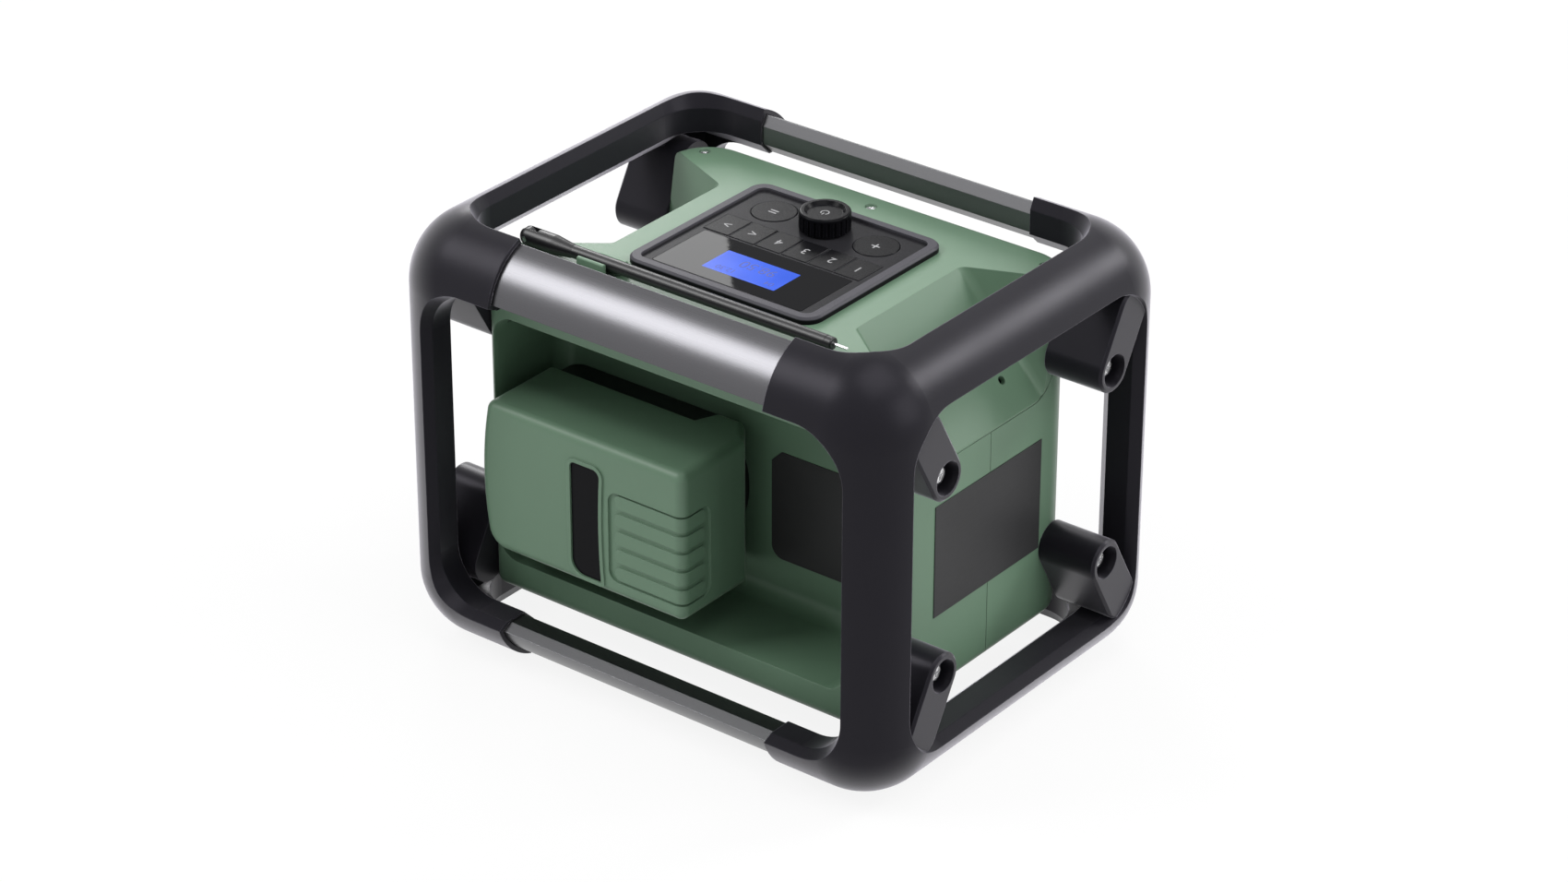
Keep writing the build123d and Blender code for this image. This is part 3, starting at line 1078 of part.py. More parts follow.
# ---- dock ----
def dock():
    inner = PACK_X[0] + HEEL_INNER[1] + HEEL_GAP
    heel_y = PACK_Y[0] - HEEL_DEPTH
    tip = PACK_X[0] + DOCK_FOOT_END
    outline = Polyline((tip, BAY_Y), (DOCK_X[1], BAY_Y), (DOCK_X[1], DOCK_Y), (DOCK_X[0], DOCK_Y),
                       (inner, heel_y), (inner, BAY_Y + DOCK_FOOT), (tip, BAY_Y + DOCK_FOOT), (tip, BAY_Y))
    outline = make_face(outline)
    far = outline.vertices().filter_by(lambda v: v.X > DOCK_X[1] - 1).sort_by(Axis.Y)
    outline = fillet(far[-1], DOCK_CORNER_R)
    far = outline.vertices().filter_by(lambda v: v.X > DOCK_X[1] - 1).sort_by(Axis.Y)
    body = prism(Plane.XY, fillet(far[0], DOCK_BACK_R), DOCK_LOW, DOCK_TOP)
    round_end = rod(DOCK_FOOT_R, (tip + DOCK_FOOT_R, BAY_Y, PACK_MID_Z), (tip + DOCK_FOOT_R, DOCK_Y, PACK_MID_Z))
    body = body & (round_end + block((inner + 5, BEYOND), (BAY_Y, DOCK_Y + 1), (0, BEYOND)))
    body -= tee(RAIL_CLEARANCE, (inner - 1, DOCK_X[1] - DOCK_END))
    sink = (DOCK_X[0] - 20, LATCH_X + TONGUE)
    body -= block(sink, (DOCK_Y - TONGUE_REACH - 1, DOCK_Y + 1), (DOCK_LOW - 1, TONGUE_Z[1] + LATCH_TRAVEL + 1.0))
    catch_top = TONGUE_Z[0] - LATCH_CLEARANCE
    web = (CATCH_X - CATCH, CATCH_X)
    body += block(web, (DOCK_Y - TONGUE_REACH - 6, DOCK_Y - TONGUE_REACH - 1), (LATCH_LOW + 1, DOCK_LOW + 1))
    body += block(web, (DOCK_Y - TONGUE_REACH - 6, DOCK_Y), (LATCH_LOW + 1, catch_top))
    return body


def dock_terminals():
    middle = PACK_Y[0] - RAIL_NECK_DEPTH - RAIL_HEAD_DEPTH / 2
    start = DOCK_X[1] - DOCK_END
    return [block((start - BLADE_LENGTH, start), (middle - 2.5, middle + 1.0), (z - BLADE / 2, z + BLADE / 2))
            for z in blade_heights()]


# ---- boards ----
TRAY_BACK = BAY_Y - WALL


def board_posts(x_half, z_low, z_high):
    """Four posts on the back of the bay's tray."""
    return [rod(POST_R, (x, TRAY_BACK + 0.5, z), (x, TRAY_BACK - POST_HEIGHT, z))
            for x in (-x_half, x_half) for z in (z_low, z_high)]


def main_board():
    face = TRAY_BACK - POST_HEIGHT
    half = MAIN_BOARD[0] / 2
    z = (MAIN_BOARD_Z - MAIN_BOARD[1] / 2, MAIN_BOARD_Z + MAIN_BOARD[1] / 2)
    board = block((-half, half), (face - BOARD, face), z)
    sink = block((-HEATSINK[0] / 2, HEATSINK[0] / 2), (face - BOARD - HEATSINK[1], face - BOARD),
                 (z[1] - HEATSINK[2] - 6, z[1] - 6))
    for i in range(7):
        x = (i - 3) * HEATSINK[0] / 7.5
        sink -= block((x - 2.2, x + 2.2), (face - BOARD - HEATSINK[1] - 1, face - BOARD - 4), z)
    return board + sink


POWER_Y = TRAY_BACK - POWER_BOARD_GAP - POWER_BOARD[1] / 2


def floor_posts():
    half_x, half_y = POWER_BOARD[0] / 2 - 6, POWER_BOARD[1] / 2 - 6
    return [rod(POST_R, (x, POWER_Y + y, BASE_Z + WALL - 0.5), (x, POWER_Y + y, BASE_Z + WALL + POST_HEIGHT))
            for x in (-half_x, half_x) for y in (-half_y, half_y)]


def power_board():
    low = BASE_Z + WALL + POST_HEIGHT
    half_x, half_y = POWER_BOARD[0] / 2, POWER_BOARD[1] / 2
    board = block((-half_x, half_x), (POWER_Y - half_y, POWER_Y + half_y), (low, low + BOARD))
    x0 = -half_x + 8
    board += block((x0, x0 + TRANSFORMER[0]), (POWER_Y - TRANSFORMER[1] / 2, POWER_Y + TRANSFORMER[1] / 2),
                   (low + BOARD, low + BOARD + TRANSFORMER[2]))
    for i in range(3):
        x = 14 + i * 14
        board += rod(5.0, (x, POWER_Y, low + BOARD), (x, POWER_Y, low + BOARD + 20))
    return board


# ---- port bay on the +X side ----
PORT_PLANE = Plane(origin=(SIDE_X, PORT_Y, PORT_Z), x_dir=(0, 1, 0), z_dir=(1, 0, 0))
DOOR_Z = (PORT_Z - PORT_HEIGHT / 2 - DOOR_LAP, PORT_Z + PORT_HEIGHT / 2 + DOOR_LAP)
HINGE_Z = DOOR_Z[0] - DOOR_KNUCKLE_R
HINGE_X = SIDE_X + DOOR_KNUCKLE_R + 0.3


def port_bay(grow):
    shape = rounded(PORT_WIDTH + 2 * grow, PORT_HEIGHT + 2 * grow, 3.0 + grow)
    return prism(PORT_PLANE, shape, -PORT_DEPTH - grow, 1 if grow == 0 else -0.5)


def port_spots():
    """Middle of each socket in the port bay, with its opening."""
    return [(*USB_A_AT, USB_A), (*USB_C_AT, USB_C), (*INLET_AT, INLET)]


def port_sockets():
    """Socket bodies that stand in the bay's back wall."""
    bodies = []
    for y, z, size in port_spots():
        plane = PORT_PLANE.offset(-PORT_DEPTH)
        outline = Rectangle(size[0] + 2 * SOCKET_RIM, size[1] + 2 * SOCKET_RIM)
        body = prism(plane, Pos(y, z) * outline, -SOCKET_REACH, 0)
        body -= prism(plane, Pos(y, z) * Rectangle(*size), -SOCKET_REACH + 2, 1)
        bodies.append(body)
    return bodies


def port_cuts():
    """Openings in the port bay's back wall, one for each socket body."""
    grow = 2 * (SOCKET_RIM + SOCKET_FIT)
    back = PORT_PLANE.offset(-PORT_DEPTH)
    return [prism(back, Pos(y, z) * Rectangle(size[0] + grow, size[1] + grow), -WALL - 1, 1)
            for y, z, size in port_spots()]


def port_cover():
    width = PORT_WIDTH + 2 * DOOR_LAP
    half = width / 2
    plate = block((SIDE_X + DOOR_GAP, SIDE_X + DOOR_GAP + DOOR_THICK), (PORT_Y - half, PORT_Y + half), DOOR_Z)
    plate = fillet(plate.edges().filter_by(Axis.X), 3.0)
    seal = rounded(PORT_WIDTH - 0.8, PORT_HEIGHT - 0.8, 2.6)
    seal_ring = prism(PORT_PLANE, seal, -2.0, DOOR_GAP + 0.1)
    seal_ring -= prism(PORT_PLANE, rounded(PORT_WIDTH - 4, PORT_HEIGHT - 4, 2.0), -3.0, DOOR_GAP)
    knuckle = rod(DOOR_KNUCKLE_R, (HINGE_X, PORT_Y - half / 3, HINGE_Z), (HINGE_X, PORT_Y + half / 3, HINGE_Z))
    knuckle += block((HINGE_X - DOOR_KNUCKLE_R + 0.2, SIDE_X + DOOR_GAP + DOOR_THICK),
                     (PORT_Y - half / 3, PORT_Y + half / 3), (HINGE_Z, DOOR_Z[0] + 1))
    pull = block((SIDE_X + DOOR_GAP + DOOR_THICK - 1, SIDE_X + DOOR_GAP + DOOR_THICK + 2.0),
                 (PORT_Y - 7, PORT_Y + 7), (DOOR_Z[1] - 4, DOOR_Z[1] - 1.5))
    cover = plate + seal_ring + knuckle + pull
    return cover - rod(DOOR_PIN_R + DOOR_PIN_GAP, (HINGE_X, PORT_Y - 40, HINGE_Z), (HINGE_X, PORT_Y + 40, HINGE_Z))


def door_hinge():
    """Ears on the casing and the pin through them."""
    half = (PORT_WIDTH + 2 * DOOR_LAP) / 6
    ears = []
    for side in (-1, 1):
        near, far = PORT_Y + side * (half + 0.3), PORT_Y + side * (half + 3.3)
        ear = rod(DOOR_KNUCKLE_R - 0.2, (HINGE_X, near, HINGE_Z), (HINGE_X, far, HINGE_Z))
        ear += block((SIDE_X - 1, HINGE_X), sorted((near, far)), (HINGE_Z - 2.0, HINGE_Z + 2.0))
        ears.append(ear - rod(DOOR_PIN_R, (HINGE_X, PORT_Y - 40, HINGE_Z), (HINGE_X, PORT_Y + 40, HINGE_Z)))
    pin = rod(DOOR_PIN_R, (HINGE_X, PORT_Y - half - 3.3, HINGE_Z), (HINGE_X, PORT_Y + half + 3.3, HINGE_Z))
    return ears, pin


# ---- plates ----
def side_plate():
    arm_edge = FLAT_Y - ARM_FROM_SIDE - ARM_WIDTH / 2
    middle, half = TOP_Z - SIDE_PLATE_DROP, SIDE_PLATE_HEIGHT / 2
    return block((-SIDE_X - PLATE_THICK, -SIDE_X),
                 (SIDE_PLATE_GAPS[0] - arm_edge, arm_edge - SIDE_PLATE_GAPS[1]), (middle - half, middle + half))


def rear_plate():
    left = BAY_X[0] + REAR_PLATE_GAPS[0]
    right = PACK_X[0] + DOCK_FOOT_END - REAR_PLATE_GAPS[1]
    middle = ((left + right) / 2, BAY_Y, BAY_Z[0] + REAR_PLATE_RISE)
    plane = Plane(origin=middle, x_dir=(-1, 0, 0), z_dir=(0, 1, 0))
    outline = Rectangle(right - left, REAR_PLATE_HEIGHT)
    low = fillet(outline.vertices().sort_by(Axis.Y)[:2], 7.0)
    outline = chamfer(low.vertices().sort_by(Axis.Y)[-2:], 6.0)
    return prism(plane, outline, 0, PLATE_THICK)


def build():
    frame_right = end_frame()
    frame_left = mirrored(frame_right)
    save(frame_right, "end_frame_right")
    save(frame_left, "end_frame_left")
    for name, bar in bars().items():
        save(bar, name)

    screws = []
    for side_y, side_z in ARM_SPOTS:
        arm = mount_arm(side_y, side_z, frame_right)
        place = ("front" if side_y < 0 else "rear") + ("_lower" if side_z < 0 else "_upper")
        save(arm, f"mount_arm_right_{place}")
        save(mirrored(arm), f"mount_arm_left_{place}")
        screw = arm_screw(side_y, side_z)
        screws += [screw, mirrored(screw)]
    save(Compound(children=screws), "mount_screws")

    front, rear, top = casings()
    front = finish_front(front)
    front = front_bosses(front)
    top = finish_top(top) - antenna_seat()
    ears, door_pin = door_hinge()
    front += port_bay(WALL) & casing_block(0.5)
    front -= port_bay(0)
    for cut in port_cuts():
        front -= cut
    for ear in ears:
        front += ear
    front_zone, rear_zone = shell_zones()
    for post in floor_posts():
        if post.center().Y < SEAM_Y:
            front += post & front_zone
        else:
            rear += post & rear_zone
    for post in board_posts(MAIN_BOARD[0] / 2 - 6, MAIN_BOARD_Z - MAIN_BOARD[1] / 2 + 6,
                            MAIN_BOARD_Z + MAIN_BOARD[1] / 2 - 6):
        rear += post
    save(front, "front_casing")
    save(rear, "rear_casing")
    save(top, "top_casing")
    save(Compound(children=[top_screw(x, y) for x, y in top_screw_spots()]), "top_screws")

    save(grille(), "speaker_grille")
    for side, name in ((-1, "left"), (1, "right")):
        frame, cone = speaker(side)
        save(frame, f"speaker_frame_{name}")
        save(cone, f"speaker_cone_{name}")

    save(control_bezel(), "control_bezel")
    save(display_window(), "display_window")
    save(display(), "display_module")
    save(control_board(), "control_board")
    for i, (x, y) in enumerate(key_spots()):
        save(key(x, y), f"key_{i + 1}")
    save(round_button(-BUTTON_X), "round_button_left")
    save(round_button(BUTTON_X), "round_button_right")
    encoder_body, encoder_shaft = encoder()
    save(encoder_body, "encoder_body")
    save(encoder_shaft, "encoder_shaft")
    save(tuning_knob(), "tuning_knob")

    base, pin, root, tube, cap, whip = antenna()
    save(base, "antenna_base")
    save(pin, "antenna_pin")
    save(root, "antenna_root")
    save(tube, "antenna_tube")
    save(cap, "antenna_end_cap")
    save(whip, "antenna_rod")

    save(battery_shell(), "battery_shell")
    save(battery_base(), "battery_base")
    save(Compound(children=battery_cells()), "battery_cells")
    save(cell_holder(), "cell_holder")
    save(battery_latch(), "battery_latch")
    save(battery_badge(), "battery_badge")
    save(dock(), "battery_dock")
    save(Compound(children=dock_terminals()), "dock_terminals")

    save(main_board(), "main_board")
    save(power_board(), "power_board")
    save(Compound(children=port_sockets()), "port_sockets")
    save(port_cover(), "port_cover")
    save(door_pin, "port_cover_pin")
    save(side_plate(), "side_plate")
    save(rear_plate(), "rear_plate")


build()
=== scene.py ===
"""Looks of the jobsite radio: materials, printed marks, display, studio and camera."""
import bpy
import bmesh
import json
import math
from mathutils import Matrix, Vector


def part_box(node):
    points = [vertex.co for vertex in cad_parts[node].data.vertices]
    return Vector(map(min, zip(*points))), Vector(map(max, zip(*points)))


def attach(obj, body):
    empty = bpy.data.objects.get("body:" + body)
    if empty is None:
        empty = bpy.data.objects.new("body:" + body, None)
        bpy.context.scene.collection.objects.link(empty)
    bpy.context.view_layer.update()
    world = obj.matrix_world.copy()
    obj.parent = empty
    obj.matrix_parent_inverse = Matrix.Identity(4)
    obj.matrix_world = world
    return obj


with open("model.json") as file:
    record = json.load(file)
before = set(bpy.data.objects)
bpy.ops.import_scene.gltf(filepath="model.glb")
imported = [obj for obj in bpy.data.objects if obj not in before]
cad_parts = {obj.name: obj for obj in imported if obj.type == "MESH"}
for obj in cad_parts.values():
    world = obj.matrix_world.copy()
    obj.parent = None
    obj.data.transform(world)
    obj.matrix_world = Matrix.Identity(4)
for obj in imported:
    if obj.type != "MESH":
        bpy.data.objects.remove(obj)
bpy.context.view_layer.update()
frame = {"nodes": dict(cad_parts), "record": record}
MM = 0.001

# ---- colours, linear ----
GREEN = (0.108, 0.187, 0.122)
# painted highlight: paler green laid on the casing's edges
GREEN_EDGE_HIGHLIGHT = (0.180, 0.270, 0.195)
CHARCOAL = (0.0080, 0.0076, 0.0102)
# painted highlight: paler grey laid on the edges of the black mouldings
CHARCOAL_EDGE_HIGHLIGHT = (0.110, 0.107, 0.128)
CHARCOAL_SHEEN = (0.92, 0.88, 1.0)
ALUMINIUM = (0.165, 0.165, 0.172)
HANDLE_ALUMINIUM = (0.122, 0.121, 0.129)
STEEL = (0.92, 0.92, 0.93)
BRASS = (0.80, 0.60, 0.28)
PANEL_BLACK = (0.007, 0.007, 0.008)
# painted highlight: the panel's rim, lighter than its black deck
PANEL_RIM_HIGHLIGHT = (0.070, 0.068, 0.078)
KEY_BLACK = (0.006, 0.006, 0.007)
DEEP_BLACK = (0.004, 0.004, 0.005)
GRILLE_BLACK = (0.020, 0.020, 0.022)
PLATE_GREY = (0.024, 0.024, 0.025)
MARK_GREY = (0.32, 0.32, 0.33)
DIGIT_BLUE = (0.010, 0.026, 0.20)
SCREEN_OFF = (0.01, 0.02, 0.06)
SCREEN_GAPS = (0.03, 0.10, 0.80)
SCREEN_DIM = (0.030, 0.120, 0.820)
SCREEN_BRIGHT = (0.060, 0.170, 1.0)
SLEEVE_BLUE = (0.05, 0.13, 0.32)
# painted highlight: paler blue laid on the sleeve's edges
SLEEVE_EDGE_HIGHLIGHT = (0.2, 0.3, 0.5)
PAPER_DARK = (0.012, 0.012, 0.013)
PAPER_FIBRE = (0.035, 0.035, 0.037)
COPPER_LAND = (0.55, 0.42, 0.16)
SOLDER_MASK = (0.012, 0.085, 0.030)
FLOOR_GREY = (0.80, 0.80, 0.80)
WHITE = (1.0, 1.0, 1.0)

# ---- noise patterns: scale per metre, detail, roughness ----
SPARK_GRAIN = (2600.0, 3.0, 0.6)
GLOSS_CLOUDS = (22.0, 3.0, 0.55)
# patches that break up the painted edge highlight
EDGE_HIGHLIGHT_PATCHES = (90.0, 4.0, 0.65)
BRUSH_STREAKS = (9000.0, 3.0, 0.7)
BRUSH_BANDS = (2600.0, 2.0, 0.5)
MACHINING = (1500.0, 3.0, 0.6)
WIPE_MARKS = (160.0, 4.0, 0.6)
BACKLIGHT_CLOUDS = (45.0, 1.0, 0.5)
INK_SPECKLE = (1800.0, 2.0, 0.5)
FILM_WEAVE = (900.0, 3.0, 0.7)
FILM_CLOUDS = (18.0, 2.0, 0.5)
PRESSED_FIBRES = (1400.0, 4.0, 0.7)

EDGE_HIGHLIGHT_START, EDGE_HIGHLIGHT_FULL = 0.30, 0.62    # patches of an edge that take the painted highlight
CLOUD_TONE, CLOUD_SHARE = 1.25, 0.18   # a moulding's clouds: their tone, and how much they show
CLOUD_GLOSS, GRAIN_GLOSS = 0.10, 0.12   # how far clouds and grain swing a moulding's roughness
INSET_HIGHLIGHT_CALM = 0.8           # how much of the painted edge highlight an inset hides
STREAK_TONE, BAND_TONE, BRUSH_TONE = 0.22, 0.12, 0.6   # brushed metal: swings, and the middle of its shade
STREAK_GLOSS = 0.10
BRUSH_SQUEEZE = 0.002      # pattern along the brushing against across it
DOT_PITCH = 3600.0         # display's dot grid, radians per metre
LAND_SCALE = 260.0         # copper lands, per metre
EDGE_LEAN = (0.02, 0.20)   # rounded normal's lean where an edge starts, and where it is full
LOW_ANGLE = (0.28, 0.52)   # facing where the gloss of low angles starts, and where it is full

# ---- printed marks and display ----
INK_SINK, INK_STAND = 0.02 * MM, 0.03 * MM   # a mark below and above the face that carries it
TEXT_LIFT, TEXT_DEPTH = 0.005 * MM, 0.02 * MM
SCREEN_SIZE, SCREEN_CORNER = (43.4 * MM, 21 * MM), 0.6 * MM
SCREEN_SHIFT = 0.7 * MM    # window's middle to the display's, towards the rear
CORNER_STEPS = 6
KNOB_DISH = 1.6 * MM       # knob's rim to the dish in its top
SIGN_RING = (1.75 * MM, 2.25 * MM)   # inner and outer radius of the power sign's ring
SIGN_GAP = 76              # degrees
SIGN_STEPS = 28
SIGN_BAR_HALF = 0.25 * MM
SIGN_BAR_ENDS = (0.7 * MM, 2.7 * MM)

# body, sign, height in mm
KEY_SIGNS = (
    ("key_1", "1", 7.5), ("key_2", "2", 7.5), ("key_3", "3", 7.5), ("key_4", "4", 7.5), ("key_5", "<", 8),
    ("key_6", ">", 8), ("button_left", "+", 10), ("button_right", "=", 10),
)
# name, digits, place from the display's middle and height in mm
SCREEN_LINES = (
    ("screen_station", "98.50", -2.0, -3.4, 9.5),
    ("screen_clock", "12:30", 10.5, 6.0, 5.2),
    ("screen_memory", "04", -15.5, 6.0, 5.2),
)

# ---- second colours of one moulding ----
# the panel's rim is painted lighter than its deck as a highlight
BEZEL_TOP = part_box("control_bezel")[1][2]
PANEL_STEP = (1.6 * MM, 0.9 * MM)    # below the bezel's top: the deck's black ends, the rim's painted highlight is full
GRILLE_LOW, GRILLE_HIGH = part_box("speaker_grille")
GRILLE_BACK = (0.3 * MM, 0.1 * MM)   # before the grille's rear face: the black starts, and is full
GRILLE_EDGE = 0.5 * MM

# ---- studio ----
CAMERA_AT = (-1.21126, 1.55628, 1.17841)
CAMERA_AZIMUTH = 217.817
CAMERA_ELEVATION = 28.505
CAMERA_ROLL = 0.16
CAMERA_LENS = 105.75
CAMERA_SENSOR = 36.0
CAMERA_CLIP = (0.05, 50.0)
LIGHT_AIM = (0, 0, 0.11)
# name, place, size in metres, watts
LIGHTS = (
    ("top_softbox", (-0.5, 0.1, 2.0), (1.4, 1.2), 17),
    ("side_softbox", (-2.0, -0.2, 1.1), (1.2, 1.2), 13.5),
    ("rear_softbox", (1.2, 1.1, 1.7), (1.0, 0.9), 24),
    ("corner_softbox", (-1.15, -1.65, 1.35), (0.6, 0.6), 22),
    ("front_softbox", (1.673, -1.425, 1.275), (0.8, 0.7), 17),
)
WORLD_FILL = 0.42          # world's strength where it lights, against 1 where it is seen
FLOOR_REACH = 6.0
FLOOR_DROP = 0.5 * MM
FLOOR_WHITENESS = 0.88     # share of plain white over the lit floor, where it is seen


# ---- shader expressions ----
class Value:
    """A shader socket that takes part in Python expressions."""

    def __init__(self, tree, socket):
        self.tree = tree
        self.socket = socket

    def math(self, operation, *others, clamp=False):
        return self.tree.node("Math", {"operation": operation, "use_clamp": clamp}, (self, *others))

    def __add__(self, other):
        return self.math("ADD", other)

    def __radd__(self, other):
        return self.math("ADD", other)

    def __mul__(self, other):
        return self.math("MULTIPLY", other)

    def __rmul__(self, other):
        return self.math("MULTIPLY", other)

    def __sub__(self, other):
        return self.math("SUBTRACT", other)

    def __rsub__(self, other):
        return self.tree.node("Math", {"operation": "SUBTRACT"}, (other, self))

    def clamp(self):
        return self.math("ADD", 0.0, clamp=True)

    def step(self, low, high):
        """0 below low, 1 above high, straight between them."""
        return self.tree.node("MapRange", {"clamp": True}, {"Value": self, "From Min": low, "From Max": high})

    def around(self, middle, swing):
        """A pattern's 0 to 1 as a swing about the middle."""
        return (self - 0.5) * swing + middle

    def channel(self, index):
        return self.tree.node("SeparateXYZ", {}, (self,), out=index)


class Tree:
    """The nodes of one material or world."""

    def __init__(self, owner):
        self.owner = owner
        owner.use_nodes = True
        self.nodes = owner.node_tree.nodes
        self.links = owner.node_tree.links
        self.nodes.clear()

    def put(self, socket, value):
        if isinstance(value, Value):
            self.links.new(value.socket, socket)
        elif isinstance(value, tuple) and socket.type == "RGBA":
            socket.default_value = (*value, 1.0)
        else:
            socket.default_value = value

    def node(self, kind, settings, sockets, out=0):
        """A node with its settings, then its sockets: in order, or by name or number."""
        made = self.nodes.new("ShaderNode" + kind)
        for key, setting in settings.items():
            setattr(made, key, setting)
        for key, value in sockets.items() if isinstance(sockets, dict) else enumerate(sockets):
            self.put(made.inputs[key], value)
        return Value(self, made.outputs[out]) if made.outputs else None

    def place(self):
        return self.node("TexCoord", {}, {}, out="Object")

    def stretched(self, scale):
        """Row-frame place, stretched along each axis."""
        return self.node("VectorMath", {"operation": "MULTIPLY"}, (self.place(), scale))

    def noise(self, pattern, place=None):
        scale, detail, roughness = pattern
        return self.node("TexNoise", {}, {"Vector": place or self.place(), "Scale": scale, "Detail": detail,
                                          "Roughness": roughness})

    def mix(self, factor, first, second):
        """Two colours mixed. The colour sockets share their names with others, so they go by number."""
        return self.node("Mix", {"data_type": "RGBA"}, {0: factor, 6: first, 7: second}, out=2)

    def soft_normal(self, radius):
        """Normal with the edges rounded by a radius in mm."""
        return self.node("Bevel", {"samples": 4}, {"Radius": radius * MM})

    def edge(self, soft):
        """1 on convex and concave edges, 0 on faces."""
        flat = self.node("NewGeometry", {}, {}, out="Normal")
        alike = self.node("VectorMath", {"operation": "DOT_PRODUCT"}, (soft, flat), out="Value")
        return (1.0 - alike).step(*EDGE_LEAN)

    def bump(self, height, distance, normal):
        """Relief of a depth in mm over a normal."""
        return self.node("Bump", {}, {"Height": height, "Distance": distance * MM, "Normal": normal})

    def surface(self, shader):
        """Ends the tree in a shader, and returns the material or world."""
        kind = "OutputWorld" if isinstance(self.owner, bpy.types.World) else "OutputMaterial"
        self.node(kind, {}, {"Surface": shader})
        return self.owner

    def finish(self, **sockets):
        """Principled surface, with its sockets named by underscores for spaces."""
        named = {key.replace("_", " "): value for key, value in sockets.items()}
        return self.surface(self.node("BsdfPrincipled", {}, named, out="BSDF"))


def material_tree(name):
    return Tree(bpy.data.materials.new(name))


def toned(colour, factor):
    """A colour made darker or lighter."""
    return tuple(channel * factor for channel in colour)


# ---- finishes ----
def moulded(name, colour, highlight_colour, roughness, grain=0.03, radius=0.5, highlight_share=0.5, gloss=0.5, sheen=0.0, tint=WHITE,
            graze=0.0, inset=None):
    """Moulded plastic: spark-eroded grain, cloudy gloss, and a highlight painted paler on the edges in
    patches.

    Grain is the relief's depth and radius the edges', in mm. Graze is gloss at low angles, and inset a second
    colour with the mask that it fills.
    """
    tree = material_tree(name)
    grains = tree.noise(SPARK_GRAIN)
    clouds = tree.noise(GLOSS_CLOUDS)
    soft = tree.soft_normal(radius)
    # painted highlight: edges lightened towards the highlight colour, in patches
    edge_highlight = tree.edge(soft) * tree.noise(EDGE_HIGHLIGHT_PATCHES).step(EDGE_HIGHLIGHT_START, EDGE_HIGHLIGHT_FULL) * highlight_share
    base = tree.mix(clouds.step(0.3, 0.7) * CLOUD_SHARE, colour, toned(colour, CLOUD_TONE))
    if inset:
        other, covers = inset
        covered = covers(tree.place())
        base = tree.mix(covered, base, other)
        edge_highlight = edge_highlight * (1.0 - covered * INSET_HIGHLIGHT_CALM)
    coat = 0.0
    if graze:
        coat = tree.node("LayerWeight", {}, {"Blend": 0.5}, out="Facing").step(*LOW_ANGLE) * graze
    # the painted edge highlight is mixed over the base colour
    return tree.finish(Base_Color=tree.mix(edge_highlight, base, highlight_colour),
                       Roughness=clouds.around(roughness, CLOUD_GLOSS) + (grains - 0.5) * GRAIN_GLOSS,
                       Coat_Weight=coat, Coat_Roughness=0.36, Specular_IOR_Level=gloss, Specular_Tint=tint,
                       Sheen_Weight=sheen, Sheen_Roughness=0.32, Sheen_Tint=tint,
                       Normal=tree.bump(grains, grain, soft))


def brushed(name, colour, along, roughness):
    """Metal brushed along one row axis: fine straight streaks over a satin face."""
    tree = material_tree(name)
    place = tree.stretched(tuple(BRUSH_SQUEEZE if axis == along else 1.0 for axis in "XYZ"))
    streaks = tree.noise(BRUSH_STREAKS, place)
    bands = tree.noise(BRUSH_BANDS, place)
    shade = (streaks - 0.5) * STREAK_TONE + bands.around(BRUSH_TONE, BAND_TONE)
    return tree.finish(Base_Color=tree.mix(shade, toned(colour, 0.78), colour), Metallic=1.0,
                       Roughness=streaks.around(roughness, STREAK_GLOSS),
                       Normal=tree.bump(streaks, 0.003, tree.soft_normal(0.5)))


def plated(name, colour, roughness=0.22):
    """Plated metal: bright, with faint machining marks."""
    tree = material_tree(name)
    marks = tree.noise(MACHINING)
    return tree.finish(Base_Color=tree.mix(marks * 0.3, colour, toned(colour, 0.8)), Metallic=1.0,
                       Roughness=marks.around(roughness, 0.15),
                       Normal=tree.bump(marks, 0.008, tree.soft_normal(0.2)))


def window_acrylic():
    """Black-backed acrylic with a hard gloss and faint wipe marks."""
    tree = material_tree("window_acrylic")
    wipe = tree.noise(WIPE_MARKS, tree.stretched((1.0, 3.0, 1.0)))
    return tree.finish(Base_Color=DEEP_BLACK, Roughness=wipe.step(0.45, 0.9) * 0.03 + 0.015,
                       Specular_IOR_Level=0.035, Normal=tree.bump(wipe, 0.002, tree.soft_normal(0.3)))


def screen_glow():
    """Backlit liquid crystal: cloudy blue with a fine dot grid."""
    tree = material_tree("screen_glow")
    place = tree.place()
    x, y = ((place.channel(i) * DOT_PITCH).math("SINE") for i in range(2))
    dots = (x * y) * 0.03 + 1.0
    glow = tree.mix(tree.noise(BACKLIGHT_CLOUDS).step(0.35, 0.65), SCREEN_DIM, SCREEN_BRIGHT)
    return tree.finish(Base_Color=SCREEN_OFF, Roughness=0.12, Specular_IOR_Level=0.03,
                       Emission_Color=tree.mix(dots * 0.5, SCREEN_GAPS, glow), Emission_Strength=0.9)


def printed(name, colour, glow=0.0):
    """Pad-printed ink."""
    tree = material_tree(name)
    speckle = tree.noise(INK_SPECKLE)
    return tree.finish(Base_Color=tree.mix(speckle * 0.35, colour, toned(colour, 0.6)), Roughness=0.55,
                       Emission_Color=colour, Emission_Strength=glow)


def plate_film():
    """Bare satin film plate."""
    tree = material_tree("plate_film")
    weave = tree.noise(FILM_WEAVE, tree.stretched((1.0, 0.2, 1.0)))
    return tree.finish(Base_Color=tree.mix(tree.noise(FILM_CLOUDS), PLATE_GREY, toned(PLATE_GREY, 1.5)),
                       Roughness=weave.around(0.42, 0.14), Specular_IOR_Level=0.2,
                       Normal=tree.bump(weave, 0.004, tree.soft_normal(0.2)))


